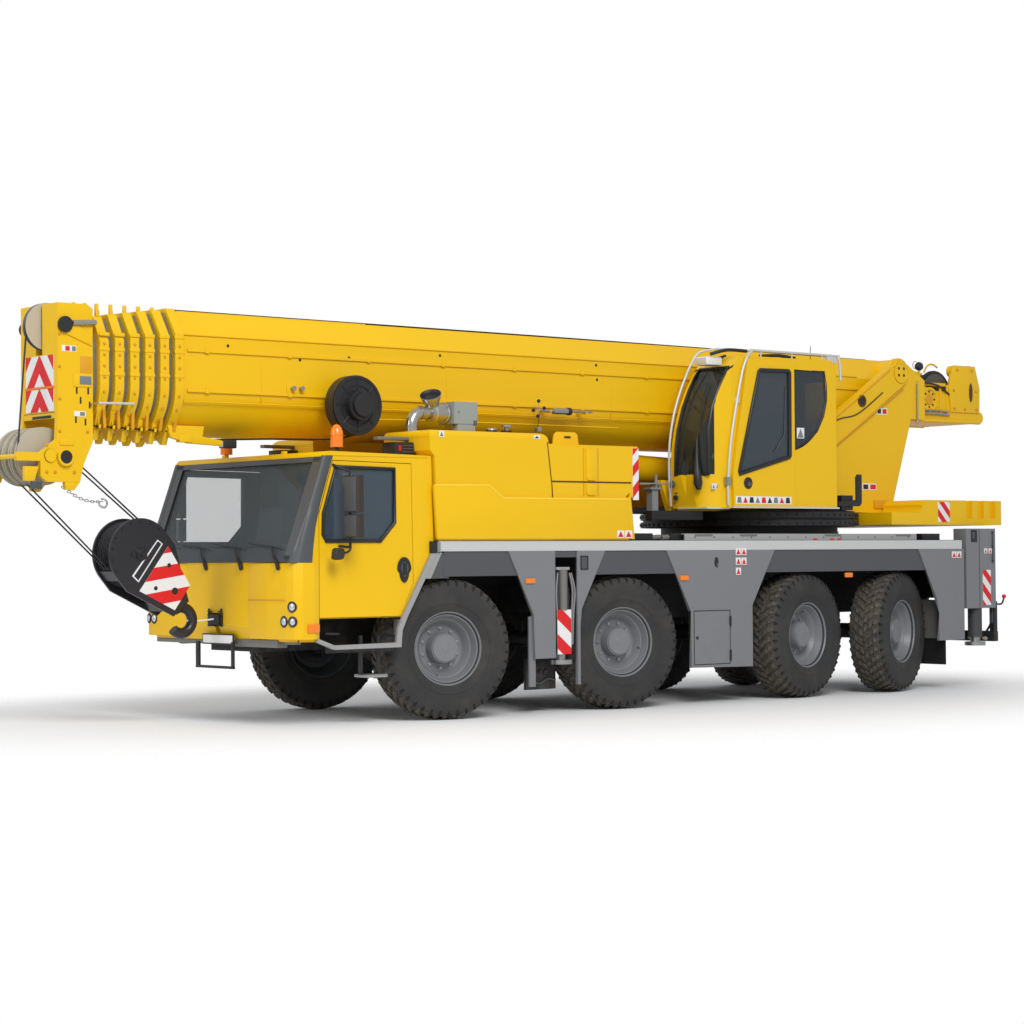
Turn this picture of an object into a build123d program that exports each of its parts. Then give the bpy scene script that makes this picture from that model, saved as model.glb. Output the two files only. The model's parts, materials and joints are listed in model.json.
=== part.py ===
from build123d import *
import os
from math import acos, atan2, cos, degrees, hypot, radians, sin

# Four-axle all-terrain mobile crane with a telescopic boom, as a set of separate named pieces.
#
# Vehicle frame while modelling, in millimetres: X = 0 at the first axle and grows to the rear, the left
# side is -Y, and Z = 0 is the ground. At export everything shifts along X by MID_X, so that the origin
# ends at the middle of the footprint, on the ground, with the cab towards -X.

SEAT = 0.3          # gap between pieces that rest on each other
RUN = 5.0           # gap beside pieces that move
PIN_FIT = 0.05      # radial play of a pin in its bore

SIDES = {"left": -1, "right": 1}

# Overall
FRONT_END = -4300.0
REAR_END = 9280.0
MID_X = (FRONT_END + REAR_END) / 2
HALF_WIDTH = 1375.0

# Wheels
TYRE_R = 705.0
TYRE_HALF = 215.0
TREAD_HALF = 172.0
BEAD_R = 335.0
BEAD_HALF = 183.0
FLANGE_R = 368.0
FLANGE_T = 15.0
BARREL_T = 17.0
DISC_IN, DISC_OUT = 60.0, 82.0      # along the wheel's axis, outwards from its middle plane
HUB_R = 120.0
HUB_IN = -65.0
CAP_R = 92.0
CAP_OUT = 135.0
AXLE_Z = TYRE_R
KINGPIN_Y = 990.0
WHEEL_OFFSET = 150.0

# Axles: name, place, steering at rest in degrees about +Z
AXLES = (
    ("1", 0.0, -13.0),
    ("2", 2320.0, -10.0),
    ("3", 5030.0, 9.0),
    ("4", 6600.0, 18.0),
)
BEAM_R = 88.0
DIFF_R = 170.0
YOKE_LUG_R = 60.0
YOKE_T = 40.0
YOKE_HALF = 150.0
YOKE_WEB_OUT = 930.0
KINGPIN_R = 30.0
BOSS_R = 52.0
SPINDLE_R = 45.0
STRUT_R = 55.0
STRUT_Y = 350.0

# Chassis and deck
FRAME_HALF = 430.0
FRAME_FRONT = -1720.0
FRAME_REAR = 7750.0
FRAME_TOP = 1600.0
FRAME_BOTTOM = 920.0
NOSE_BOTTOM = 700.0
DECK_FRONT, DECK_REAR = -225.0, 7720.0
DECK_BOTTOM, DECK_TOP = 1700.0, 1774.7
RAIL_BOTTOM, RAIL_TOP, RAIL_T = 1667.0, 1770.0, 40.0
SKIRT_T = 40.0
SKIRT_TOP = RAIL_BOTTOM - SEAT
ARCH_TOP = 1418.0
BAND_INSET = 12.0

# Slewing
SLEW_X = 5500.0
RING_R, RING_IN = 1280.0, 1000.0
RING_BOTTOM, RING_TOP = 1940.0, 2099.5
PEDESTAL_R = 1040.0

# Outriggers: name, middle of the pair of beams, beam width, beam bottom and top
OUTRIGGERS = (
    ("front", 1435.0, 122.0, 1060.0, 1290.0),
    ("rear", 8072.5, 235.0, 1100.0, 1400.0),
)
BEAM_GAP = 10.0
BEAM_OUT = 1180.0
BEAM_IN = 1100.0
TUNNEL_WALL = 22.0
JACK_Y = 1270.0
JACK_R = 85.0
JACK_ROD_R = 55.0
JACK_FOOT_R = 125.0
FOOT_BOTTOM = 500.0
FOOT_T = 45.0
JACK_BOTTOM = 605.0
FRONT_JACK_TOP = 1475.0
REAR_COVER = (7800.0, 8345.0, 950.0, 1910.0)    # x from, x to, z from, z to

COUPLING = (-1925.0, 95.0, 965.0, 1065.0)       # front towing coupling: x, half width, z from, z to
COUPLING_WALL = 25.0
PIN_R = 22.0                                    # pin bores of the front and rear couplings
REAR_PIN = (150.0, 500.0, 800.0)                # rear coupling: distance behind the box, z from, z to

# Carrier cab
CAB_HALF = HALF_WIDTH - 40.0
CAB_BOTTOM = 1032.0
CAB_WALL = 40.0
CAB_REAR = -283.0
DOOR_GAP = 6.0
DOOR_HINGE_X = -1640.0
PANE_FROM, PANE_TO = 8.0, 20.0      # depth of the panes below the outer skin

# Crane cab
CRANE_CAB_OUT = 1262.0
CRANE_CAB_IN = 672.0
CRANE_CAB_BOTTOM, CRANE_CAB_TOP = 2130.0, 3820.0
CRANE_CAB_FRONT, CRANE_CAB_REAR = 3600.0, 5660.0
CRANE_CAB_WALL = 40.0
SLIDE_DOOR_T = 33.0
TILT_X, TILT_Z = 5705.0, 2200.0
TILT_PIN_R = 25.0

# Turntable and its tail
PLATE_OUT, PLATE_T = 620.0, 60.0
BASE_BOTTOM, BASE_TOP = 2100.0, 2160.0
PIVOT_X = 7490.0
PIVOT_PIN_R = 90.0
PIVOT_BOSS_R = 180.0
TAIL_HALF = 450.0
TAIL_WALL = 60.0
TAIL_FRONT, TAIL_REAR, TAIL_FLOOR = 7950.0, 9190.0, 3255.0
DRUM_X, DRUM_Z, DRUM_R = 8440.0, 3590.0, 270.0

# Counterweight
SLAB_HALF = 1250.0
SLAB_BOTTOM = 1955.0
SLAB_TOP = 2250.0
SLAB_FRONT, SLAB_STEP, SLAB_REAR = 6610.0, 7150.0, 8620.0

# Boom
BOOM_HALF = 460.0
BOOM_TOP = 3985.0
BOOM_AXIS_Z = 3260.0
BOOM_FLAT = 300.0
PIVOT_Z = BOOM_TOP - 171.0
SHOULDER = 250.0
SECTION_STEP = 22.0
SECTION_WALL = 12.0
BOOM_FRONT = -2700.0
BOOM_BACK = 7200.0
BOOM_TAIL = 7830.0
SECTION_BACK = 7100.0
COLLAR_PITCH = 150.0
COLLAR_LEN = 95.0
COLLAR_OUT = 45.0
COLLAR_UP = 20.0
SECTIONS = 6            # tubes inside the base tube; the last one carries the head
HEAD_HALF = 350.0
HEAD_FRONT = -3870.0
HEAD_BACK = -3500.0
HEAD_TOP = BOOM_TOP + 5.0
CHEEK_T = 50.0
LOWER_SHEAVE_X, LOWER_SHEAVE_Z, LOWER_SHEAVE_R = -3950.0, 2570.0, 270.0
UPPER_SHEAVE_X, UPPER_SHEAVE_Z, UPPER_SHEAVE_R = -3800.0, HEAD_TOP - 200.0, 225.0
SHEAVE_AXLE_R = 60.0
REEL_X, REEL_Z, REEL_R = -740.0, 3125.0, 300.0

# Luffing cylinder
FOOT_X, FOOT_Z = 6050.0, 2500.0
EYE_X, EYE_Z = 2750.0, 2635.0
CYL_R = 160.0
CYL_BORE = 112.0
CYL_ROD_R = 100.0
GLAND_LEN = 70.0
CYL_FRONT_REACH = 2950.0    # from the foot pin to the barrel's open end
EYE_R = 120.0
EYE_HALF = 115.0
LUG_T = 60.0
LUG_IN = EYE_HALF + 10.0

# Hook block
SWING_X, SWING_Z = LOWER_SHEAVE_X, LOWER_SHEAVE_Z
BLOCK_X, BLOCK_Z = -2880.0, 1660.0
BLOCK_TILT = 40.0
BLOCK_R = 345.0
BLOCK_HALF = 165.0
BLOCK_SHEAVE_R = 320.0
GROOVE = 34.0
ROPE_R = 8.0
ROPE_FALLS = ((-62, -32), (62, 32))     # place along Y on the head's sheaves and on the block's sheaves
BLOCK_APEX = 690.0
CHEEK_PLATE = 25.0
HOOK_R = 125.0
HOOK_BAR = 52.0

PLACE = {
    "x": lambda u, v, w: Vector(w, u, v),
    "y": lambda u, v, w: Vector(u, w, v),
    "z": lambda u, v, w: Vector(u, v, w),
}


def outline(axis, start, *steps):
    """Closed flat face square to an axis. A step is an end point, or a (through, end) pair for an arc."""
    spot = PLACE[axis]
    edges, here = [], start
    for step in steps + (start,):
        if isinstance(step[0], tuple):
            through, there = step
            edges.append(Edge.make_three_point_arc(spot(*here, 0), spot(*through, 0), spot(*there, 0)))
        else:
            there = step
            if there != here:
                edges.append(Edge.make_line(spot(*here, 0), spot(*there, 0)))
        here = there
    return Face(Wire(edges))


def prism(axis, low, high, *points):
    """Outline swept straight along an axis from low to high."""
    spot = PLACE[axis]
    face = outline(axis, *points).moved(Location(spot(0, 0, low)))
    return extrude(face, high - low, dir=spot(0, 0, 1))


def inset_prism(axis, low, high, inset, *points):
    """The same with the outline moved inwards all round."""
    spot = PLACE[axis]
    face = outline(axis, *points)
    if inset:
        face = offset(face, -inset, kind=Kind.INTERSECTION).face()
    face = face.moved(Location(spot(0, 0, low)))
    return extrude(face, high - low, dir=spot(0, 0, 1))


def block(x0, x1, y0, y1, z0, z1):
    size = (x1 - x0, abs(y1 - y0), z1 - z0)
    return Pos((x0 + x1) / 2, (y0 + y1) / 2, (z0 + z1) / 2) * Box(*size)


def bar(axis, r, low, high, u, v):
    """Round bar along an axis, through (u, v) of the other two."""
    turn = {"x": Rot(0, 90, 0), "y": Rot(-90, 0, 0), "z": Rot(0, 0, 0)}[axis]
    spot = PLACE[axis](u, v, (low + high) / 2)
    return Pos(*spot) * turn * Cylinder(r, high - low)


def strut(start, end, r):
    """Round bar between two points."""
    path = Vector(*end) - Vector(*start)
    middle = Vector(*start) + path * 0.5
    return Plane(middle, z_dir=path.normalized()).location * Cylinder(r, path.length)


def both(shape):
    return [shape, mirror(shape, about=Plane.XZ)]


def join(shapes):
    shapes = list(shapes)
    total = shapes[0]
    for shape in shapes[1:]:
        total += shape
    return total


def across(low, high, side):
    """Limits along Y of a piece that lies between two distances from the middle, on one side."""
    return (side * low, side * high) if side > 0 else (side * high, side * low)


# ---------------------------------------------------------------- wheels, knuckles and axles

def wheel():
    """Tyre and rim about the Y axis, with the outer face towards +Y."""
    rubber = Plane.YZ * Polyline(
        (-BEAD_HALF, BEAD_R), (-BEAD_HALF, BEAD_R + 40), (-TYRE_HALF + 8, BEAD_R + 105),
        (-TYRE_HALF, 540), (-TYRE_HALF + 15, 650), (-TREAD_HALF, TYRE_R - 8), (0, TYRE_R),
        (TREAD_HALF, TYRE_R - 8), (TYRE_HALF - 15, 650), (TYRE_HALF, 540),
        (TYRE_HALF - 8, BEAD_R + 105), (BEAD_HALF, BEAD_R + 40), (BEAD_HALF, BEAD_R), close=True)
    seat = BEAD_R - SEAT
    lip = BEAD_HALF + SEAT
    inner = seat - BARREL_T
    metal = Plane.YZ * Polyline(
        (-lip - FLANGE_T, inner), (-lip - FLANGE_T, FLANGE_R), (-lip, FLANGE_R), (-lip, seat),
        (lip, seat), (lip, FLANGE_R), (lip + FLANGE_T, FLANGE_R), (lip + FLANGE_T, inner),
        (DISC_OUT + 45, inner - 22), (DISC_OUT, HUB_R + 70), (DISC_OUT, CAP_R + 6),
        (CAP_OUT - 12, CAP_R), (CAP_OUT, CAP_R - 14), (CAP_OUT, 0), (DISC_IN, 0),
        (DISC_IN, SPINDLE_R), (HUB_IN, SPINDLE_R), (HUB_IN, HUB_R), (DISC_IN, HUB_R),
        (DISC_IN, HUB_R + 60), (DISC_IN + 40, inner - 24), (DISC_IN + 10, inner), close=True)
    return [revolve(make_face(rubber), Axis.Y), revolve(make_face(metal), Axis.Y)]


def knuckle():
    """Kingpin, spindle and steering arm, with the kingpin at the origin and the wheel towards +Y."""
    pin = KINGPIN_R - PIN_FIT
    arm_z = YOKE_HALF + RUN
    spindle = SPINDLE_R - PIN_FIT
    arm = prism("z", arm_z, arm_z + 25,
                (-44, 0), ((0, 44), (44, 10)), (215, -15), ((235, -40), (210, -62)), (10, -44),
                ((-31, -31), (-44, 0)))
    return join([
        bar("z", pin, -YOKE_HALF - RUN, arm_z + 1, 0, 0),
        bar("z", BOSS_R, -YOKE_HALF + YOKE_T + RUN, YOKE_HALF - YOKE_T - RUN, 0, 0),
        bar("y", spindle, 0, WHEEL_OFFSET + DISC_IN - RUN, 0, 0),
        arm,
    ])


def at_kingpin(side, x, steer):
    return Pos(x, side * KINGPIN_Y, AXLE_Z) * Rot(0, 0, steer)


def outwards(side):
    """Turn that points a piece's +Y side outwards."""
    return Rot(0, 0, 0) if side > 0 else Rot(0, 0, 180)


def axle_beam(x):
    """Beam with a yoke at each end, a final drive and two suspension struts up to the chassis."""
    end_y = KINGPIN_Y
    pieces = [bar("y", BEAM_R, -YOKE_WEB_OUT + 60, YOKE_WEB_OUT - 60, x, AXLE_Z)]
    pieces.append(Pos(x, 0, AXLE_Z) * Sphere(DIFF_R))
    for side in SIDES.values():
        y0, y1 = across(YOKE_WEB_OUT - 70, YOKE_WEB_OUT, side)
        pieces.append(block(x - 60, x + 60, y0, y1, AXLE_Z - YOKE_HALF, AXLE_Z + YOKE_HALF))
        for low in (-YOKE_HALF, YOKE_HALF - YOKE_T):
            z0 = AXLE_Z + low
            y0, y1 = across(YOKE_WEB_OUT - 5, end_y, side)
            pieces.append(block(x - YOKE_LUG_R, x + YOKE_LUG_R, y0, y1, z0, z0 + YOKE_T))
            pieces.append(bar("z", YOKE_LUG_R, z0, z0 + YOKE_T, x, side * end_y))
        pieces.append(bar("z", STRUT_R, AXLE_Z, FRAME_BOTTOM - SEAT, x, side * STRUT_Y))
    beam = join(pieces)
    for side in SIDES.values():
        beam -= bar("z", KINGPIN_R, AXLE_Z - 200, AXLE_Z + 200, x, side * end_y)
    return beam


# ---------------------------------------------------------------- chassis, deck and skirts

def beam_span(middle, width, side):
    """Limits along X of one of the two beams that lie side by side."""
    if side < 0:
        return middle - BEAM_GAP / 2 - width, middle - BEAM_GAP / 2
    return middle + BEAM_GAP / 2, middle + BEAM_GAP / 2 + width


def chassis_frame():
    """Box frame with a lowered nose, the slewing pedestal, the outrigger boxes and the couplings."""
    frame = prism("y", -FRAME_HALF, FRAME_HALF,
                  (FRAME_FRONT, NOSE_BOTTOM), (FRAME_FRONT, CAB_BOTTOM - SEAT), (-560, CAB_BOTTOM - SEAT),
                  (-230, 1400), (-200, 1400), (-200, FRAME_TOP), (FRAME_REAR, FRAME_TOP),
                  (FRAME_REAR, 1000), (7500, FRAME_BOTTOM), (-230, FRAME_BOTTOM), (-400, NOSE_BOTTOM))
    pieces = [frame, bar("z", PEDESTAL_R, FRAME_TOP - 60, RING_BOTTOM - SEAT, SLEW_X, 0)]
    tunnels = []
    for _, middle, width, low, high in OUTRIGGERS:
        x0 = beam_span(middle, width, -1)[0] - RUN
        x1 = beam_span(middle, width, 1)[1] + RUN
        z0, z1 = low - RUN, high + RUN
        pieces.append(block(x0 - TUNNEL_WALL, x1 + TUNNEL_WALL, -BEAM_OUT + RUN, BEAM_OUT - RUN,
                            z0 - TUNNEL_WALL, z1 + TUNNEL_WALL))
        tunnels.append(block(x0, x1, -2 * BEAM_OUT, 2 * BEAM_OUT, low - SEAT, z1))
    box_rear = beam_span(OUTRIGGERS[1][1], OUTRIGGERS[1][2], 1)[1] + RUN + TUNNEL_WALL
    pieces.append(block(FRAME_REAR - 50, 7850, -FRAME_HALF, FRAME_HALF, 1073, 1427))
    pieces.append(prism("y", -330, 330, (box_rear - 60, 1100), (box_rear, 1100), (box_rear, 480),
                        (box_rear - 25, 480), (box_rear - 25, 900)))
    behind, pin_low, pin_high = REAR_PIN
    pieces.append(block(box_rear - 1, box_rear + behind - 30, -150, 150, pin_low + 60, pin_high - 40))
    pieces.append(bar("z", PIN_R + COUPLING_WALL + 8, pin_low, pin_high, box_rear + behind, 0))
    x0, y0, z0, z1 = COUPLING
    pieces.append(block(x0, FRAME_FRONT + 5, -y0, y0, z0, CAB_BOTTOM - SEAT))
    pieces.append(block(x0 - PIN_R - COUPLING_WALL, x0 + PIN_R + COUPLING_WALL, -y0, y0, z0, z1))
    frame = join(pieces)
    frame -= bar("z", PIN_R, z0 - 1, z1 + 1, x0, 0)
    frame -= bar("z", PIN_R, pin_low - 1, pin_high + 1, box_rear + behind, 0)
    for tunnel in tunnels:
        frame -= tunnel
    return frame


def axle_beams():
    return [axle_beam(x) for _, x, _ in AXLES]


def engine_block():
    return block(0, 1150, -400, 400, FRAME_TOP + SEAT, 2430)


def deck():
    """Walkway plates on cross ribs, open over the engine and round the slewing pedestal."""
    half = HALF_WIDTH - RAIL_T - SEAT
    plate = block(DECK_FRONT, DECK_REAR, -half, half, DECK_BOTTOM, DECK_TOP)
    ribs = [block(x, x + 60, -half, half, FRAME_TOP + SEAT, DECK_BOTTOM + 1)
            for x in (-190, 1240, 2300, 3400, 6700, 7600)]
    floor = join([plate] + ribs)
    floor -= block(-80, 1210, -470, 470, FRAME_TOP - 5, DECK_TOP + 5)
    return floor - bar("z", PEDESTAL_R + RUN, FRAME_TOP - 5, DECK_TOP + 5, SLEW_X, 0)


def side_frame():
    """Left deck rail with the diagonal front leg and the low bar under the cab door."""
    y0, y1 = -HALF_WIDTH, -HALF_WIDTH + RAIL_T
    rail = block(DECK_FRONT, DECK_REAR, y0, y1, RAIL_BOTTOM, RAIL_TOP)
    top = RAIL_BOTTOM + 20
    leg = prism("y", y0, y1 - RUN, (-222, top), (-614, 1035), (-680, 900), (-694, 738), (-1489, 735),
                (-1690, 812), (-1678, 846), (-1489, 778), (-755, 785), (-735, 920), (-672, 1035), (-290, top))
    return rail + leg


def side_skirt():
    """Left skirt: four panels between slanted wheel arches and a set-back band over the wheels."""
    y0, y1 = -HALF_WIDTH, -HALF_WIDTH + SKIRT_T
    top = SKIRT_TOP
    panels = [
        prism("y", y0, y1, (664, top), (991, 1020), (1010, 568), (1285, 568), (1285, top)),
        prism("y", y0, y1, (1585, top), (1585, 286), (1624, 286), (1624, 880), (1645, 1065), (1978, top)),
        prism("y", y0, y1, (2855, top), (3209, 1010), (3215, 400), (4151, 385), (4151, 1058), (4510, top)),
        prism("y", y0, y1, (6930, top), (7256, 1075), (7293, 900), (7293, 580), (7755, 580), (7755, top)),
        block(-150, DECK_REAR, y0 + BAND_INSET, y1, ARCH_TOP, top),
        block(960, 1045, y1 - 1, y1 + 20, 282, 1000),
        block(7420, 7440, y1 - 1, -900, 600, 1060),
    ]
    skirt = join(panels)
    return skirt - block(1285, 1585, y0 - 1, y1 + 1, 200, 1600)


def slewing_ring():
    ring = bar("z", RING_R, RING_BOTTOM, RING_TOP, SLEW_X, 0)
    ring -= bar("z", RING_IN, RING_BOTTOM - 1, RING_TOP + 1, SLEW_X, 0)
    return ring - (bar("z", RING_R + 1, 2005, 2030, SLEW_X, 0) - bar("z", RING_R - 30, 2000, 2035, SLEW_X, 0))


def mudflap():
    return block(7440 + SEAT, 7455, -HALF_WIDTH + SKIRT_T + SEAT, -905, 290, 640)


# ---------------------------------------------------------------- outriggers

def jack_place(name, middle):
    """Middle along X and the top of a jack."""
    if name == "front":
        return middle, FRONT_JACK_TOP
    return middle, REAR_COVER[3] - 60


def outrigger_beam(name, middle, width, low, high, side):
    """Sliding beam with the jack's barrel at its outer end."""
    x0, x1 = beam_span(middle, width, side)
    y0, y1 = across(-BEAM_IN, BEAM_OUT + 10, side)
    jack_x, jack_top = jack_place(name, middle)
    pieces = [block(x0, x1, y0, y1, low, high)]
    y0, y1 = across(BEAM_OUT, JACK_Y, side)
    if name == "front":
        pieces.append(block(middle - 130, middle + 130, y0, y1, low, high))
    else:
        x0, x1, z0, z1 = REAR_COVER
        y0, y1 = across(BEAM_OUT, HALF_WIDTH, side)
        pieces.append(block(x0, x1, y0, y1, z0, z1))
    pieces.append(bar("z", JACK_R, JACK_BOTTOM, jack_top, jack_x, side * JACK_Y))
    beam = join(pieces)
    if name == "rear":
        y0, y1 = across(BEAM_OUT + 30, HALF_WIDTH - 30, side)
        beam -= block(x0 + 30, x1 - 30, y0, y1, z0 - 1, low - 40)
        beam += bar("z", JACK_R, JACK_BOTTOM, jack_top, jack_x, side * JACK_Y)
    return beam - bar("z", JACK_ROD_R + SEAT, JACK_BOTTOM - 1, jack_top - 30, jack_x, side * JACK_Y)


def outrigger_jack(name, middle, side):
    """Jack rod and the round foot on its end."""
    jack_x, jack_top = jack_place(name, middle)
    rod = bar("z", JACK_ROD_R, FOOT_BOTTOM + FOOT_T - 1, jack_top - 60, jack_x, side * JACK_Y)
    foot = bar("z", JACK_FOOT_R, FOOT_BOTTOM, FOOT_BOTTOM + FOOT_T, jack_x, side * JACK_Y)
    return rod + foot


# ---------------------------------------------------------------- carrier cab

CAB_SIDE = (
    (-1880, 815), (-1932, 960), (-1932, 1570), (-1560, 2575), ((-1545, 2612), (-1500, 2632)),
    (CAB_REAR, 2610), (-262, 1720), (-655, CAB_BOTTOM), (-1645, CAB_BOTTOM), (-1645, 815),
)
CAB_CORNER_X, CAB_SWEPT_X, CAB_MIDDLE_X = -1640.0, -1885.0, -1935.0     # front outline, seen from above
CAB_SWEPT_Y = 1150.0
CAB_DOOR = (
    (DOOR_HINGE_X, 1035), (DOOR_HINGE_X, 2030), (-1475, 2545), (-530, 2530), (-512, 1345), (-672, 1035),
)
CAB_DOOR_WINDOW = (
    (-1560, 1775), (-1590, 1830), (-1585, 2030), (-1440, 2480), (-745, 2470), (-745, 1950), (-915, 1775),
)
WINDSCREEN = (-2100.0, -1380.0, 1625.0, 2530.0)      # x from, x to, z from, z to
WINDSCREEN_HALF = 1165.0
ARCH_CUT = ((-850, 600), (-850, 1040), (-640, 1290), (-330, 1440), (-150, 1440), (-150, 600))
HEADLAMPS = ((975, 1150), (1055, 1010), (965, 1010))       # distance from the middle, height
HEADLAMP_R = 46.0


def cab_plan(inset):
    """Outline of the carrier cab from above: a slightly bowed front with rounded corners."""
    half = CAB_HALF - inset
    swept_x, middle_x = CAB_SWEPT_X + inset, CAB_MIDDLE_X + inset
    corner = (CAB_SWEPT_X + 75 + inset * 0.7, half - 40 + inset * 0.3)
    return ((-200, -half), (CAB_CORNER_X, -half), ((corner[0], -corner[1]), (swept_x, -CAB_SWEPT_Y)),
            ((middle_x, 0), (swept_x, CAB_SWEPT_Y)), (corner, (CAB_CORNER_X, half)), (-200, half))


def cab_body(inset):
    """Solid form of the carrier cab, moved inwards by the inset."""
    side = inset_prism("y", -CAB_HALF + inset, CAB_HALF - inset, inset, *CAB_SIDE)
    return side & prism("z", 600, 2800, *cab_plan(inset))


def cab_room():
    """Hollow of the carrier cab, down to its floor and over the wheel arches."""
    floor = prism("y", -CAB_HALF, CAB_HALF, (-2000, 1085), (-880, 1085), (-665, 1335), (-340, 1485),
                  (-150, 1485), (-150, 2700), (-2000, 2700))
    return cab_body(CAB_WALL) & floor


def door_prism(points, inset, side):
    y0, y1 = across(CAB_HALF - 80, CAB_HALF + 80, side)
    return inset_prism("y", y0, y1, inset, *points)


def windscreen_cut(inset):
    x0, x1, z0, z1 = WINDSCREEN
    return block(x0, x1, -WINDSCREEN_HALF + inset, WINDSCREEN_HALF - inset, z0 + inset, z1 - inset)


def headlamp_bores(r):
    return [bar("x", r, -2100, -1800, side * y, z) for side in SIDES.values() for y, z in HEADLAMPS]


def carrier_cab_shell():
    """Carrier cab: roof, rear wall, floor, front panel and pillars, with its doors cut out."""
    shell = cab_body(0) - cab_room()
    shell -= prism("y", -CAB_HALF + CAB_WALL, CAB_HALF - CAB_WALL, *ARCH_CUT)
    shell -= block(-1840, -1600, -CAB_HALF + 60, CAB_HALF - 60, 700, 1040)
    x0, half, z0, z1 = COUPLING
    shell -= block(x0 - 100, x0 + 90, -half - 20, half + 20, z0 - 15, z1 + 15)
    shell -= block(x0 - 100, x0 + 90, -PIN_R - 13, PIN_R + 13, 700, z0)     # way down for the towing pin
    shell -= windscreen_cut(0)
    for side in SIDES.values():
        shell -= door_prism(CAB_DOOR, 0, side)
    for bore in headlamp_bores(HEADLAMP_R + SEAT):
        shell -= bore
    return shell


def carrier_cab_glass():
    return (cab_body(PANE_FROM) - cab_body(PANE_TO)) & windscreen_cut(SEAT)


def cab_door(side):
    """Door skin with its window cut, the pane and the mirrors on their arms."""
    skin = (cab_body(0) - cab_room()) & door_prism(CAB_DOOR, DOOR_GAP, side)
    skin -= door_prism(CAB_DOOR_WINDOW, 0, side)
    pane = (cab_body(PANE_FROM) - cab_body(PANE_TO)) & door_prism(CAB_DOOR_WINDOW, SEAT, side)
    face = CAB_HALF - 5
    mirrors = []
    for low, high in ((2040, 2390), (1800, 2025)):
        y0, y1 = across(1465, 1680, side)
        housing = block(-1440, -1345, y0, y1, low, high)
        mirrors.append(fillet(housing.edges().filter_by(Axis.Z), 28))
    post = bar("z", 14, 1700, 2440, -1392, side * 1500)
    arms = [
        strut((-1470, side * face, 2500), (-1392, side * 1500, 2432), 13),
        strut((-1400, side * face, 1722), (-1392, side * 1500, 1710), 13),
    ]
    return [join([skin, post] + mirrors + arms), pane]


def seat(x, y, z, width=500.0, depth=500.0, height=680.0):
    """Seat that faces -X, its cushion's front edge at x."""
    cushion = block(x, x + depth, y - width / 2, y + width / 2, z + 250, z + 380)
    foot = block(x + 110, x + depth - 110, y - width / 4, y + width / 4, z, z + 251)
    back = prism("y", y - width / 2 + 20, y + width / 2 - 20,
                 (x + depth - 60, z + 370), (x + depth + 60, z + 370 + height),
                 (x + depth + 150, z + 370 + height), (x + depth + 70, z + 360))
    return join([cushion, foot, back])


def steering_wheel(x, y, z, tilt, r=220.0):
    rim = Torus(r, 15) + Box(2 * r, 26, 14) + Pos(0, 0, -60) * Cylinder(28, 120)
    return Pos(x, y, z) * Rot(0, tilt, 0) * rim


def cab_interior():
    """Two seats, the dashboard and the steering wheel."""
    floor = 1085 + SEAT
    dash = prism("y", -1150, 1150, (-1800, floor), (-1860, 1180), (-1860, 1520), (-1640, 1560),
                 (-1540, 1480), (-1600, 1300), (-1620, floor)) & cab_body(CAB_WALL + SEAT)
    column = strut((-1600, -700, 1420), (-1455, -700, 1570), 35)
    wheel_part = steering_wheel(-1440, -700, 1590, 40)
    seats = [seat(-1235, y, floor, depth=380) for y in (-700, 700)]
    return [dash + column + wheel_part] + seats


def carrier_lamps():
    """Headlamps in the front panel, corner indicators, roof beacons and the rear lamp clusters."""
    lamps = [(cab_body(-4) - cab_body(25)) & bore for bore in headlamp_bores(HEADLAMP_R)]
    rear = beam_span(OUTRIGGERS[1][1], OUTRIGGERS[1][2], 1)[1] + RUN + TUNNEL_WALL + SEAT
    for side in SIDES.values():
        y0, y1 = across(1150, 1450, side)
        lamps.append((cab_body(-14) - cab_body(-SEAT)) & block(-1775, -1655, y0, y1, 905, 985))
        y0, y1 = across(780, 1130, side)
        lamps.append(block(rear, rear + 35, y0, y1, 1120, 1240))
        stem = bar("z", 22, 2600, 2690, -1170, side * 980) - cab_body(-SEAT)
        lamps.append(stem + bar("z", 62, 2689, 2800, -1170, side * 980))
    return lamps


# ---------------------------------------------------------------- engine fairings and exhaust

FAIRING_IN = 620.0
FAIRING_BOTTOM = DECK_TOP + SEAT
FAIRING_TOP = 2870.0
FAIRING_MAIN = (
    (-240, FAIRING_BOTTOM), (-268, 2605), (-325, 2665), (-330, 2790), ((-318, 2848), (-262, FAIRING_TOP)),
    (1120, FAIRING_TOP),
    ((1180, 2848), (1205, 2790)), (1262, 2300), (1262, FAIRING_BOTTOM),
)
FAIRING_REAR = (
    (1240, FAIRING_BOTTOM), (1215, 2765), (2360, 2765), (2360, 2290), (2290, 2240), (2325, FAIRING_BOTTOM),
)
FAIRING_REAR_IN = 880.0


def engine_fairing():
    """Left fairing beside the boom: a tall front part, and a lower and narrower rear part."""
    tall = prism("y", -HALF_WIDTH, -FAIRING_IN, *FAIRING_MAIN)
    low = prism("y", -HALF_WIDTH + 10, -FAIRING_REAR_IN, *FAIRING_REAR)
    grip = prism("y", -HALF_WIDTH - 1, -HALF_WIDTH + 22, (1450, 2765), (1450, 2740), (1640, 2740), (1640, 2765))
    edge = -HALF_WIDTH
    corner = prism("x", -400, 1300, (edge - 5, FAIRING_TOP + 30), (edge - 5, 2805), (edge, 2805),
                   ((edge + 19, FAIRING_TOP - 19), (edge + 65, FAIRING_TOP)), (edge + 65, FAIRING_TOP + 30))
    return tall + low - corner - grip


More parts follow.
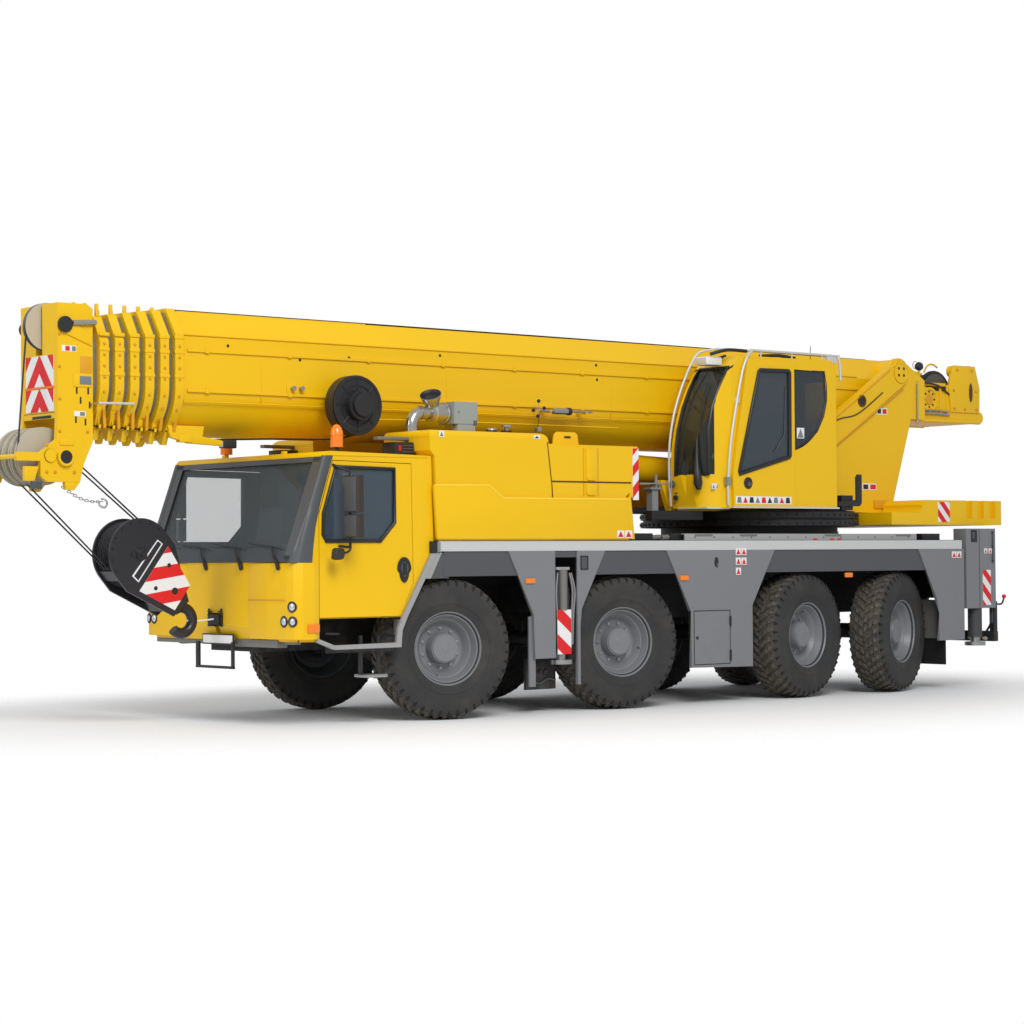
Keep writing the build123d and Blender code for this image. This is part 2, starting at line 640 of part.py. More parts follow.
def exhaust_and_intake():
    """Silencer box, bent stack and flared outlet that stand on the left fairing."""
    roof = FAIRING_TOP + SEAT
    y = -880.0
    box = block(270, 570, y - 130, y + 130, 2960, 3185)
    feet = [block(x, x + 50, y - 60, y + 60, roof, 2961) for x in (300, 490)]
    drum_part = bar("x", 92, 40, 271, y, 3070)
    bend = sweep(Plane((-180, y, roof), z_dir=(0, 0, 1)) * Circle(62),
                 path=Wire([Edge.make_line((-180, y, roof), (-180, y, 2930)),
                            Edge.make_three_point_arc((-180, y, 2930), (-139, y, 3029), (-40, y, 3070)),
                            Edge.make_line((-40, y, 3070), (45, y, 3070))]))
    flare = Plane((95, y, 3120), z_dir=Vector(-0.45, -0.35, 0.82)).location * Pos(0, 0, 60) * Cone(60, 92, 120)
    caps = [bar("z", 55, roof, roof + 38, x, -1000) for x in (760, 960)]
    return [join([box, drum_part, bend, flare] + feet)] + caps


# ---------------------------------------------------------------- turntable, counterweight, crane cab

SIDE_PLATE = (
    (3500, 2450), (3500, 2420), (3620, BASE_BOTTOM), (7310, BASE_BOTTOM), (7700, 3260), (7960, 3260),
    (7960, PIVOT_Z - 74), (7640, PIVOT_Z + 111), (7330, PIVOT_Z + 86), (5000, 2450),
)
TAIL_SIDE = (
    (TAIL_FRONT - 50, TAIL_FLOOR), (TAIL_REAR, TAIL_FLOOR), ((REAR_END, 3320), (TAIL_REAR, 3400)),
    (TAIL_REAR - 10, 3720), (TAIL_REAR - 90, 3950),
    (8720, 3950), (8640, 3640), (8360, 3640), (7960, 3740), (7900, 3740),
)


def turntable():
    """Side plates, base, boom pin, foot lugs of the luffing cylinder and the tail with its winch."""
    base = block(3620, 7310, -PLATE_OUT, PLATE_OUT, BASE_BOTTOM, BASE_TOP)
    base += bar("z", RING_R - 40, BASE_BOTTOM, CRANE_CAB_BOTTOM - 15, SLEW_X, 0)
    pieces = [base, bar("y", PIVOT_PIN_R - PIN_FIT, -PLATE_OUT - 25, PLATE_OUT + 25, PIVOT_X, PIVOT_Z)]
    for side in SIDES.values():
        y0, y1 = across(PLATE_OUT - PLATE_T, PLATE_OUT, side)
        pieces.append(prism("y", y0, y1, *SIDE_PLATE))
        pieces.append(bar("y", PIVOT_BOSS_R, y0, y1, PIVOT_X, PIVOT_Z))
        y0, y1 = across(PLATE_OUT - 1, PLATE_OUT + 30, side)
        pieces.append(prism("y", y0, y1, (7330, PIVOT_Z + 86), (5760, 2923), (5760, 2560),
                            (7600, PIVOT_Z - 114)))
        pieces.append(bar("y", 140, y0, y1, PIVOT_X, PIVOT_Z))
        y0, y1 = across(LUG_IN, LUG_IN + LUG_T, side)
        pieces.append(prism("y", y0, y1, (FOOT_X - 220, BASE_TOP - 1), (FOOT_X - 130, FOOT_Z),
                            ((FOOT_X, FOOT_Z + 130), (FOOT_X + 130, FOOT_Z)), (FOOT_X + 220, BASE_TOP - 1)))
        y0, y1 = across(TAIL_HALF - TAIL_WALL, TAIL_HALF, side)
        pieces.append(prism("y", y0, y1, *TAIL_SIDE))
    pieces.append(bar("y", 50 - PIN_FIT, -LUG_IN - LUG_T, LUG_IN + LUG_T, FOOT_X, FOOT_Z))
    pieces.append(block(TAIL_FRONT - 50, TAIL_FRONT + 10, -PLATE_OUT, PLATE_OUT, TAIL_FLOOR + 5, 3740))
    pieces.append(block(TAIL_FRONT, TAIL_REAR, -TAIL_HALF, TAIL_HALF, TAIL_FLOOR, TAIL_FLOOR + 45))
    pieces.append(block(TAIL_REAR - 70, TAIL_REAR - 10, -TAIL_HALF, TAIL_HALF, TAIL_FLOOR + 35, 3700))
    drum_half = TAIL_HALF - TAIL_WALL
    pieces.append(bar("y", DRUM_R, -drum_half - 1, drum_half + 1, DRUM_X, DRUM_Z))
    for side in SIDES.values():
        y0, y1 = across(drum_half - 45, drum_half - 20, side)
        pieces.append(bar("y", DRUM_R + 40, y0, y1, DRUM_X, DRUM_Z))
    pieces += crane_cab_bracket()
    return join(pieces)


TILT_LUGS = ((-1200.0, -1150.0), (-810.0, -760.0))      # limits along Y of the crane cab's two lugs


def crane_cab_bracket():
    """Bracket behind the crane cab, with the pin on which the cab tilts back."""
    return [
        block(5760, 5950, -1240, -PLATE_OUT + 1, BASE_BOTTOM + 20, 2290),
        block(5682, 5770, TILT_LUGS[0][1] + RUN, TILT_LUGS[1][0] - RUN, TILT_Z - 32, TILT_Z + 32),
        bar("y", TILT_PIN_R - PIN_FIT, TILT_LUGS[0][0] - 5, TILT_LUGS[1][1] + 5, TILT_X, TILT_Z),
    ]


def counterweight():
    """Ballast slab under and behind the turntable, with lifting pockets along its rear edges."""
    slab = prism("y", -SLAB_HALF, SLAB_HALF,
                 (SLAB_FRONT, SLAB_BOTTOM), (SLAB_FRONT, BASE_BOTTOM - SEAT), (SLAB_STEP - 60, BASE_BOTTOM - SEAT),
                 ((SLAB_STEP - 8, 2125), (SLAB_STEP, SLAB_TOP - 60)), (SLAB_STEP + 60, SLAB_TOP),
                 (SLAB_REAR, SLAB_TOP), (SLAB_REAR, SLAB_BOTTOM))
    slab -= bar("z", RING_R + 50, 1900, 2200, SLEW_X, 0)
    slab -= block(7000, 7420, -PLATE_OUT - 10, PLATE_OUT + 10, BASE_BOTTOM - SEAT, SLAB_TOP + 1)
    for side in SIDES.values():
        for x in (7960, 8180, 8400):
            y0, y1 = across(SLAB_HALF - 60, SLAB_HALF + 1, side)
            slab -= block(x, x + 110, y0, y1, 2030, SLAB_TOP + 1)
    return slab


def support_post():
    """Grey post beside the front of the turntable, on an arm from under its base."""
    arm = block(3640, 3760, -1010, -420, 2000, BASE_BOTTOM - SEAT)
    arm += block(2990, 3760, -1010, -910, 2000, BASE_BOTTOM - SEAT)
    post = block(3000, 3090, -1005, -915, 1990, 2330) + block(2960, 3130, -1030, -890, 2330, 2350)
    return arm + post + bar("z", 18, 2349, 2490, 3100, -960)


CRANE_CAB_SIDE = (
    (CRANE_CAB_FRONT + 25, CRANE_CAB_BOTTOM), (CRANE_CAB_FRONT, 2430),
    ((3735, 3250), (4080, 3790)), ((4105, 3815), (4140, CRANE_CAB_TOP)), (5570, CRANE_CAB_TOP + 10),
    ((5630, 3790), (CRANE_CAB_REAR, 3720)), (CRANE_CAB_REAR, CRANE_CAB_BOTTOM),
)
CRANE_CAB_PLAN = (
    (5800, -CRANE_CAB_IN), (3550, -CRANE_CAB_IN), (3615, -900), ((3665, -1130), (3830, -1235)),
    (3960, -CRANE_CAB_OUT), (5800, -CRANE_CAB_OUT),
)
SLIDE_DOOR = ((3960, 2150), (3945, 2480), (4190, 3785), (4930, 3785), (4930, 2150))
SLIDE_OPENING = ((4010, 2190), (4000, 2480), (4225, 3745), (4880, 3745), (4880, 2190))
SLIDE_WINDOW = ((4030, 2500), (4365, 3665), (4850, 3675), (4845, 2713))
QUARTER_WINDOW = ((4975, 3700), (5470, 3700), (5500, 3366), ((5330, 3000), (4975, 2790)))
INNER_WINDOW = ((4200, 2700), (4200, 3650), (5480, 3650), (5480, 2700))


def crane_cab_body(inset):
    side = inset_prism("y", -CRANE_CAB_OUT + inset, -CRANE_CAB_IN - inset, inset, *CRANE_CAB_SIDE)
    plan = inset_prism("z", 2000, 4000, inset, *CRANE_CAB_PLAN)
    return side & plan


def crane_window_cuts(inset):
    """Prisms through the windscreen, the left quarter window, the inner side window and the rear one."""
    out0, out1 = -CRANE_CAB_OUT - 20, -CRANE_CAB_OUT + CRANE_CAB_WALL + 20
    in0, in1 = -CRANE_CAB_IN - CRANE_CAB_WALL - 20, -CRANE_CAB_IN + 20
    return [
        block(3400, 4040, -1205 + inset, -CRANE_CAB_IN - 55 - inset, 2500 + inset, 3690 - inset),
        inset_prism("y", out0, out1, inset, *QUARTER_WINDOW),
        inset_prism("y", in0, in1, inset, *INNER_WINDOW),
        block(CRANE_CAB_REAR - 80, CRANE_CAB_REAR + 20, -1160 + inset, -780 - inset, 3050 + inset, 3600 - inset),
    ]


def crane_cab_shell():
    """Crane cab with its windows and door opening cut, the door's sill rail and the tilting lugs."""
    shell = crane_cab_body(0) - crane_cab_body(CRANE_CAB_WALL)
    for cut in crane_window_cuts(0):
        shell -= cut
    shell -= prism("y", -CRANE_CAB_OUT - 20, -CRANE_CAB_OUT + CRANE_CAB_WALL + 20, *SLIDE_OPENING)
    rail = SLIDE_DOOR[0][1] - SEAT
    shell += block(3950, CRANE_CAB_REAR, -1300, -CRANE_CAB_OUT + 10, CRANE_CAB_BOTTOM, rail)
    for y0, y1 in TILT_LUGS:
        lug = block(CRANE_CAB_REAR - 10, TILT_X, y0, y1, TILT_Z - 40, TILT_Z + 40)
        lug += bar("y", 40, y0, y1, TILT_X, TILT_Z)
        shell += lug - bar("y", TILT_PIN_R, y0 - 1, y1 + 1, TILT_X, TILT_Z)
    return shell


def crane_cab_glass():
    skin = crane_cab_body(PANE_FROM) - crane_cab_body(PANE_TO)
    return [skin & cut for cut in crane_window_cuts(SEAT)]


def crane_cab_seat():
    floor = CRANE_CAB_BOTTOM + CRANE_CAB_WALL + SEAT
    desk = prism("y", -1180, -760, (3720, floor), (3720, 2460), (3830, 2500), (3930, 2440), (3930, floor))
    return [seat(4330, -965, floor, 440), desk & crane_cab_body(CRANE_CAB_WALL + SEAT)]


def crane_cab_door():
    """Sliding door outside the crane cab's wall, with its pane."""
    y0, y1 = -CRANE_CAB_OUT - RUN - SLIDE_DOOR_T, -CRANE_CAB_OUT - RUN
    skin = prism("y", y0, y1, *SLIDE_DOOR) - prism("y", y0 - 1, y1 + 1, *SLIDE_WINDOW)
    pane = inset_prism("y", y0 + PANE_FROM, y0 + PANE_TO, SEAT, *SLIDE_WINDOW)
    return [skin, pane]


# ---------------------------------------------------------------- boom

def boom_profile(x0, x1, half, top, bottom_r=None):
    """Boom tube form: half-round belly, upright sides and a flat top with chamfered shoulders."""
    r = bottom_r or half
    flat = BOOM_FLAT * half / BOOM_HALF
    return prism("x", x0, x1, (-half, BOOM_AXIS_Z), ((0, BOOM_AXIS_Z - r), (half, BOOM_AXIS_Z)),
                 (half, top - SHOULDER), (flat, top), (-flat, top), (-half, top - SHOULDER))


def section_size(index):
    """Half width and top of a tube, the base tube being 0."""
    return BOOM_HALF - SECTION_STEP * index, BOOM_TOP - SECTION_STEP * index


def section_front(index):
    return BOOM_FRONT - COLLAR_PITCH * index


def tube(index, back):
    """One boom tube; the collar at its front end holds the slide pads that the next tube runs in."""
    half, top = section_size(index)
    front = section_front(index)
    body = boom_profile(front, back, half, top)
    body += boom_profile(front, front + COLLAR_LEN, half + COLLAR_OUT, top + COLLAR_UP)
    body -= boom_profile(front + COLLAR_LEN, back + 1, half - SECTION_WALL, top - SECTION_WALL)
    inner_half, inner_top = section_size(index + 1)
    return body - boom_profile(front - 1, front + COLLAR_LEN + 1, inner_half + SEAT, inner_top + SEAT)


def boom_base():
    """Base tube with its solid tail, pivot bosses, side rails, eye lugs and the cable reel."""
    half, top = section_size(0)
    body = tube(0, BOOM_BACK)
    body += boom_profile(BOOM_BACK - 1, BOOM_TAIL, half, top)
    body += bar("y", 168, -PLATE_OUT + PLATE_T + RUN, PLATE_OUT - PLATE_T - RUN, PIVOT_X, PIVOT_Z)
    for side in SIDES.values():
        y0, y1 = across(half - 4, half + 16, side)
        for z in (BOOM_TOP - 395, BOOM_AXIS_Z - 55):
            body += block(BOOM_FRONT + COLLAR_LEN + 60, BOOM_BACK, y0, y1, z, z + 26)
        y0, y1 = across(LUG_IN, LUG_IN + LUG_T, side)
        lug = prism("y", y0, y1, (EYE_X - 330, BOOM_AXIS_Z - 410), (EYE_X - 120, EYE_Z),
                    ((EYE_X, EYE_Z - 120), (EYE_X + 120, EYE_Z)), (EYE_X + 330, BOOM_AXIS_Z - 410))
        y0, y1 = across(LUG_IN + LUG_T - 1, LUG_IN + LUG_T + 18, side)
        body += lug + bar("y", 70, y0, y1, EYE_X, EYE_Z)
    body += cable_reel()
    body -= bar("y", PIVOT_PIN_R, -PLATE_OUT, PLATE_OUT, PIVOT_X, PIVOT_Z)
    inside = boom_profile(BOOM_FRONT + COLLAR_LEN, BOOM_BACK, half - SECTION_WALL, top - SECTION_WALL)
    return body - inside


def cable_reel():
    """Round reel housing on the boom's left side, on its bracket."""
    reel = bar("y", REEL_R, -730, -600, REEL_X, REEL_Z) + bar("y", REEL_R - 25, -742, -590, REEL_X, REEL_Z)
    hub = bar("y", 150, -820, -741, REEL_X, REEL_Z) + bar("y", 115, -850, -819, REEL_X, REEL_Z)
    bracket = block(REEL_X - 60, REEL_X + 260, -600, -BOOM_HALF + 8, REEL_Z - 60, REEL_Z + 160)
    return join([reel, hub, bracket])


def boom_section(index):
    return tube(index, SECTION_BACK)


def boom_head():
    """Innermost tube with the head: box, cheeks round the lower sheaves and a slot for the upper one."""
    half, top = section_size(SECTIONS)
    stem = boom_profile(HEAD_BACK - 60, SECTION_BACK, half, top)
    stem -= boom_profile(HEAD_BACK, SECTION_BACK + 1, half - SECTION_WALL, top - SECTION_WALL)
    box = prism("y", -HEAD_HALF, HEAD_HALF, (HEAD_BACK, 2890), (HEAD_BACK, HEAD_TOP - 40),
                (HEAD_BACK - 60, HEAD_TOP), (HEAD_FRONT, HEAD_TOP), (HEAD_FRONT, 2920))
    box -= block(UPPER_SHEAVE_X - 200, UPPER_SHEAVE_X + 240, -60, 60, UPPER_SHEAVE_Z - 270, HEAD_TOP + 110)
    pieces = [stem, box]
    for side in SIDES.values():
        y0, y1 = across(HEAD_HALF - CHEEK_T, HEAD_HALF, side)
        pieces.append(prism("y", y0, y1, (HEAD_BACK, 3000), (HEAD_FRONT, 3000), (-3885, 2720), (-4050, 2600),
                            (-4050, 2380), (-3980, 2330), (-3640, 2330), (-3600, 2500), (HEAD_BACK, 2720)))
        y0, y1 = across(HEAD_HALF - 1, HEAD_HALF + 25, side)
        pieces.append(bar("y", 85, y0, y1, -3800, 2560))
    pieces.append(bar("y", 22, -HEAD_HALF, HEAD_HALF, -3603, 2696))
    pieces.append(bar("y", 22, -HEAD_HALF, HEAD_HALF, FRONT_END + 22, 2560))
    for side in SIDES.values():
        y0, y1 = across(HEAD_HALF - CHEEK_T, HEAD_HALF, side)
        pieces.append(block(FRONT_END + 10, -4040, y0, y1, 2520, 2600))
    head = join(pieces)
    for x, z in ((LOWER_SHEAVE_X, LOWER_SHEAVE_Z), (UPPER_SHEAVE_X, UPPER_SHEAVE_Z)):
        head -= bar("y", SHEAVE_AXLE_R, -HEAD_HALF - 40, HEAD_HALF + 40, x, z)
    return head


def sheave(r, x, y, z, width=52.0):
    """Grooved rope sheave about a line along Y."""
    w = width / 2
    rim = Plane.YZ * Polyline((-w, 0), (-w, r), (-w + 8, r), (-8, r - GROOVE), (8, r - GROOVE), (w - 8, r),
                              (w, r), (w, 0), close=True)
    return Pos(x, y, z) * revolve(make_face(rim), Axis.Y)


def sheaves():
    """Four lower sheaves and one upper sheave, each set on its axle."""
    play = SHEAVE_AXLE_R - PIN_FIT
    lower = [sheave(LOWER_SHEAVE_R, LOWER_SHEAVE_X, y, LOWER_SHEAVE_Z) for y in (-186, -62, 62, 186)]
    lower.append(bar("y", play, -HEAD_HALF - 12, HEAD_HALF + 12, LOWER_SHEAVE_X, LOWER_SHEAVE_Z))
    upper = [sheave(UPPER_SHEAVE_R, UPPER_SHEAVE_X, 0, UPPER_SHEAVE_Z, 70)]
    upper.append(bar("y", play, -HEAD_HALF - 12, HEAD_HALF + 12, UPPER_SHEAVE_X, UPPER_SHEAVE_Z))
    return [join(lower), join(upper)]


# ---------------------------------------------------------------- luffing cylinder

CYL_LEN = hypot(EYE_X - FOOT_X, EYE_Z - FOOT_Z)
CYL_DIR = ((EYE_X - FOOT_X) / CYL_LEN, (EYE_Z - FOOT_Z) / CYL_LEN)


def on_cylinder(shape):
    """Lay a piece built along +Z from the foot pin onto the cylinder's line."""
    tilt = degrees(atan2(CYL_DIR[0], CYL_DIR[1]))
    return Pos(FOOT_X, 0, FOOT_Z) * Rot(0, tilt, 0) * shape


def luff_barrel():
    eye = bar("y", 125, -EYE_HALF, EYE_HALF, 0, 0)
    body = eye + bar("z", CYL_R, 175, CYL_FRONT_REACH, 0, 0) + bar("z", 100, 60, 176, 0, 0)
    body += bar("z", CYL_R + 12, CYL_FRONT_REACH - 130, CYL_FRONT_REACH - 20, 0, 0)
    body -= bar("z", CYL_BORE, 235, CYL_FRONT_REACH - GLAND_LEN, 0, 0)
    body -= bar("z", CYL_ROD_R + SEAT, 235, CYL_FRONT_REACH + 1, 0, 0)
    return on_cylinder(body - bar("y", 50, -EYE_HALF - 1, EYE_HALF + 1, 0, 0))


def luff_rod():
    body = bar("z", CYL_ROD_R, 250, CYL_LEN - 60, 0, 0)
    return on_cylinder(body + bar("y", EYE_R, -EYE_HALF, EYE_HALF, 0, CYL_LEN))


# ---------------------------------------------------------------- hook block

def at_block(shape):
    """Lay a piece built with the block's middle at the origin and the hook towards -Z."""
    return Pos(BLOCK_X, 0, BLOCK_Z) * Rot(0, -BLOCK_TILT, 0) * shape


SHANK_R = 42.0
CROSSHEAD = -520.0


def hook_block():
    """Cheek plates that narrow to the crosshead, the rope sheaves and the top guard between them."""
    pieces = []
    for side in SIDES.values():
        y0, y1 = across(BLOCK_HALF - CHEEK_PLATE, BLOCK_HALF, side)
        pieces.append(prism("y", y0, y1, (-BLOCK_R, 0), ((0, BLOCK_R), (BLOCK_R, 0)), (BLOCK_R, -170),
                            (110, -BLOCK_APEX), (-110, -BLOCK_APEX), (-BLOCK_R, -170)))
    for y in (-95, -32, 32, 95):
        pieces.append(sheave(BLOCK_SHEAVE_R, 0, y, 0, 44))
    pieces.append(bar("y", 60, -BLOCK_HALF - 15, BLOCK_HALF + 15, 0, 0))
    pieces.append(block(-150, 150, -BLOCK_HALF, BLOCK_HALF, CROSSHEAD - 75, CROSSHEAD + 35))
    pieces.append(block(-BLOCK_R + 20, -BLOCK_R + 60, -BLOCK_HALF, BLOCK_HALF, -60, 60))
    pieces.append(block(BLOCK_R - 60, BLOCK_R - 20, -BLOCK_HALF, BLOCK_HALF, -180, -60))
    body = join(pieces)
    block_body = at_block(body - bar("z", SHANK_R, CROSSHEAD - 200, CROSSHEAD + 5, 0, 0))
    return join([block_body] + rope_falls())


def rope_falls():
    """Taut ropes between the head's inner lower sheaves and the block's inner sheaves, both sides of each."""
    run = Vector(BLOCK_X - SWING_X, 0, BLOCK_Z - SWING_Z)
    at_head = LOWER_SHEAVE_R - GROOVE + ROPE_R + SEAT
    on_block = BLOCK_SHEAVE_R - GROOVE + ROPE_R - 3
    lean = degrees(acos((at_head - on_block) / run.length))
    falls = []
    for turn in (-lean, lean):
        away = run.normalized().rotate(Axis.Y, turn)
        for head_y, block_y in ROPE_FALLS:
            start = Vector(SWING_X, head_y, SWING_Z) + away * at_head
            falls.append(strut(start, Vector(BLOCK_X, block_y, BLOCK_Z) + away * on_block, ROPE_R))
    return falls


def hook():
    """Shank and single hook."""
    eye_z = -BLOCK_APEX - 150.0
    shank = bar("z", SHANK_R - PIN_FIT, eye_z + HOOK_R - 30, CROSSHEAD, 0, 0)
    ring_face = Plane((0, 0, eye_z + HOOK_R), x_dir=(0, 0, 1), z_dir=(1, 0, 0)) * Circle(HOOK_BAR)
    bend = revolve(ring_face, Axis((0, 0, eye_z), (0, 1, 0)), 265)
    return at_block(shank + bend)


# ---------------------------------------------------------------- all pieces

def pieces():
    """Every node's name and its shape or list of shapes, in the vehicle frame."""
    yield "chassis_frame", chassis_frame()
    yield "axle_beams", axle_beams()
    yield "engine_block", engine_block()
    yield "deck", deck()
    yield "side_frames", both(side_frame())
    yield "side_skirts", both(side_skirt())
    yield "mudflaps", both(mudflap())
    yield "slewing_ring", slewing_ring()
    yield "carrier_cab_shell", carrier_cab_shell()
    yield "carrier_cab_glass", carrier_cab_glass()
    yield "cab_interior", cab_interior()
    yield "carrier_lamps", carrier_lamps()
    yield "engine_fairings", both(engine_fairing())
    yield "exhaust_and_intake", exhaust_and_intake()
    for label, side in SIDES.items():
        yield f"cab_door_{label}", cab_door(side)
    for axle, x, steer in AXLES:
        for label, side in SIDES.items():
            hub = at_kingpin(side, x, steer) * outwards(side)
            yield f"knuckle_{axle}_{label}", hub * knuckle()
            yield f"wheel_{axle}_{label}", [hub * Pos(0, WHEEL_OFFSET, 0) * solid for solid in wheel()]
    for name, middle, width, low, high in OUTRIGGERS:
        for label, side in SIDES.items():
            yield f"outrigger_beam_{name}_{label}", outrigger_beam(name, middle, width, low, high, side)
            yield f"outrigger_jack_{name}_{label}", outrigger_jack(name, middle, side)
    yield "turntable", turntable()
    yield "counterweight", counterweight()
    yield "support_post", support_post()
    yield "crane_cab_shell", crane_cab_shell()
    yield "crane_cab_glass", crane_cab_glass()
    yield "crane_cab_seat", crane_cab_seat()
    yield "crane_cab_door", crane_cab_door()
    yield "boom_base", boom_base()
    for index in range(1, SECTIONS):
        yield f"boom_section_{index}", boom_section(index)
    yield "boom_head", boom_head()
    yield "sheaves", sheaves()
    yield "luff_barrel", luff_barrel()
    yield "luff_rod", luff_rod()
    yield "hook_block", hook_block()
    yield "hook", hook()


def main():
    os.makedirs("parts", exist_ok=True)
    for name, shapes in pieces():
        shapes = shapes if isinstance(shapes, list) else [shapes]
        solids = [solid for shape in shapes for solid in shape.solids()]
        node = Compound(children=solids) if len(solids) > 1 else solids[0]
        node = node.moved(Location((-MID_X, 0, 0)))
        node.label = name
        export_step(node, f"parts/{name}.step")
        print(name, len(solids))


if __name__ == "__main__":
    main()
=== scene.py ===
import json
from math import atan2, cos, hypot, pi, radians, sin, sqrt

import bmesh
import bpy
from mathutils import Matrix, Vector


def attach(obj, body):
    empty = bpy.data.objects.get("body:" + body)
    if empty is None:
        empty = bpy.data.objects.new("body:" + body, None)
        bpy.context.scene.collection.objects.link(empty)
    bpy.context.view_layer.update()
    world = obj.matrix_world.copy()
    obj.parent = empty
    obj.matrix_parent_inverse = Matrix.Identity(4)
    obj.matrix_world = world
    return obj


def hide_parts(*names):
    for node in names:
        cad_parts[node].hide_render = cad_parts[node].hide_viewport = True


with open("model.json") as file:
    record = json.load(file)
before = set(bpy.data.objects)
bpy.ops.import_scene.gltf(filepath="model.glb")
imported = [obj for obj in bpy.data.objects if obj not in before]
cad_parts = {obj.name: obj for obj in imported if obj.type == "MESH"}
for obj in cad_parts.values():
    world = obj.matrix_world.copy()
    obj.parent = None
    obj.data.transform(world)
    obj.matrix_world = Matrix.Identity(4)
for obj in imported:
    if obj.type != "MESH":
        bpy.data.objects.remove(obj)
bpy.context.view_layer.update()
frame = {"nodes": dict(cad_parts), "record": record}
record = frame["record"]
vehicleSides = {"left": -1, "right": 1}
toFront, toRear = (-1, 0, 0), (1, 0, 0)
toLeft, toRight = (0, -1, 0), (0, 1, 0)
upwards = (0, 0, 1)
firstAxle = 2490    # mm from the first axle back to the frame's origin; pieces are drawn from the axle
scene = bpy.context.scene


def link(made):
    scene.collection.objects.link(made)
    return made


# Camera: ahead of the vehicle and to its left, at chest height.
cameraValues = {
    "place": (-17.216, -19.940, 1.586), "sight": (0.6393, 0.7687, 0.0197),
    "right": (0.7689, -0.6393, -0.0079), "lens": 84.0, "sensor": 36.0, "farEnd": 400,
}
sight, right = Vector(cameraValues["sight"]).normalized(), Vector(cameraValues["right"]).normalized()
axes = Matrix((right, right.cross(sight), -sight)).transposed().to_4x4()
camera = link(bpy.data.objects.new("camera", bpy.data.cameras.new("camera")))
camera.matrix_world = Matrix.Translation(cameraValues["place"]) @ axes
camera.data.lens = cameraValues["lens"]
camera.data.sensor_width = cameraValues["sensor"]
camera.data.clip_end = cameraValues["farEnd"]
scene.camera = camera
print("stage: camera")


class Value:
    # An output of a node tree. Arithmetic on it adds Math nodes.
    def __init__(self, tree, socket):
        self.tree, self.socket = tree, socket

    def math(self, operation, *terms):
        return self.tree.node("ShaderNodeMath", {"operation": operation}, terms)

    def __add__(self, other):
        return self.math("ADD", self, other)

    def __sub__(self, other):
        return self.math("SUBTRACT", self, other)

    def __rsub__(self, other):
        return self.math("SUBTRACT", other, self)

    def __mul__(self, other):
        return self.math("MULTIPLY", self, other)

    def __truediv__(self, other):
        return self.math("DIVIDE", self, other)

    def __rtruediv__(self, other):
        return self.math("DIVIDE", other, self)

    def __pow__(self, other):
        return self.math("POWER", self, other)

    def __rpow__(self, other):
        return self.math("POWER", other, self)

    __radd__ = __add__
    __rmul__ = __mul__

    def sine(self):
        return self.math("SINE", self)

    def rise(self, low, high):
        # 0 below low, 1 above high, smooth between.
        return self.tree.node("ShaderNodeMapRange", {"interpolation_type": "SMOOTHSTEP"},
                              (self, low, high, 0, 1))


class Tree:
    def __init__(self, owner):
        owner.use_nodes = True
        self.nodes, self.links = owner.node_tree.nodes, owner.node_tree.links

    def feed(self, socket, value):
        if isinstance(value, Value):
            self.links.new(value.socket, socket)
        elif value is not None:
            socket.default_value = value

    def node(self, kind, settings=None, sockets=(), output=0):
        made = self.nodes.new(kind)
        for key, value in (settings or {}).items():
            setattr(made, key, value)
        pairs = sockets.items() if isinstance(sockets, dict) else enumerate(sockets)
        for key, value in pairs:
            self.feed(made.inputs[key], value)
        return Value(self, made.outputs[output])


class Finish(Tree):
    # A surface: one Principled shader and the patterns that vary it.
    def __init__(self, name, color, roughness, metallic=0.0, coat=0.0, alpha=1.0):
        self.material = bpy.data.materials.new(name)
        super().__init__(self.material)
        self.shader = self.nodes["Principled BSDF"]
        self.color = (*color, 1.0)
        self.set("Base Color", self.color)
        self.set("Roughness", roughness)
        self.set("Metallic", metallic)
        self.set("Coat Weight", coat)
        self.set("Coat Roughness", 0.12)
        self.set("Alpha", alpha)

    def set(self, socket, value):
        self.feed(self.shader.inputs[socket], value)
        return self

    def place(self):
        return self.node("ShaderNodeTexCoord", output="Object")

    def along(self, axis):
        return self.node("ShaderNodeSeparateXYZ", None, (self.place(),), axis)

    def noise(self, scale, detail):
        return self.node("ShaderNodeTexNoise", None, {
            "Vector": self.place(), "Scale": scale, "Detail": detail, "Roughness": 0.6})

    def mix(self, factor, first, second):
        return self.node("ShaderNodeMix", {"data_type": "RGBA"}, {0: factor, 6: first, 7: second}, 2)

    def bump(self, height, distance, softEdge=0.0):
        edge = self.node("ShaderNodeBevel", {"samples": 4}, (softEdge,)) if softEdge else None
        return self.set("Normal", self.node("ShaderNodeBump", None, {
            "Strength": 1.0, "Distance": distance, "Height": height, "Normal": edge}))

    def paint(self, dust=0.0):
        # Sprayed paint: a faint orange peel, slow drift of the shade and some dust low down.
        drift = self.noise(0.9, 3.0).rise(0.35, 0.7)
        shade = self.mix(drift * 0.10, self.color, tuple(0.82 * c for c in self.color[:3]) + (1.0,))
        if dust:
            low = 1.0 - self.along("Z").rise(0.35, 1.5)
            spots = self.noise(7.0, 6.0).rise(0.40, 0.75)
            shade = self.mix(low * spots * dust, shade, (0.16, 0.135, 0.10, 1.0))
        self.set("Base Color", shade)
        return self.bump(self.noise(260.0, 2.0), 0.00012, softEdge=0.006)


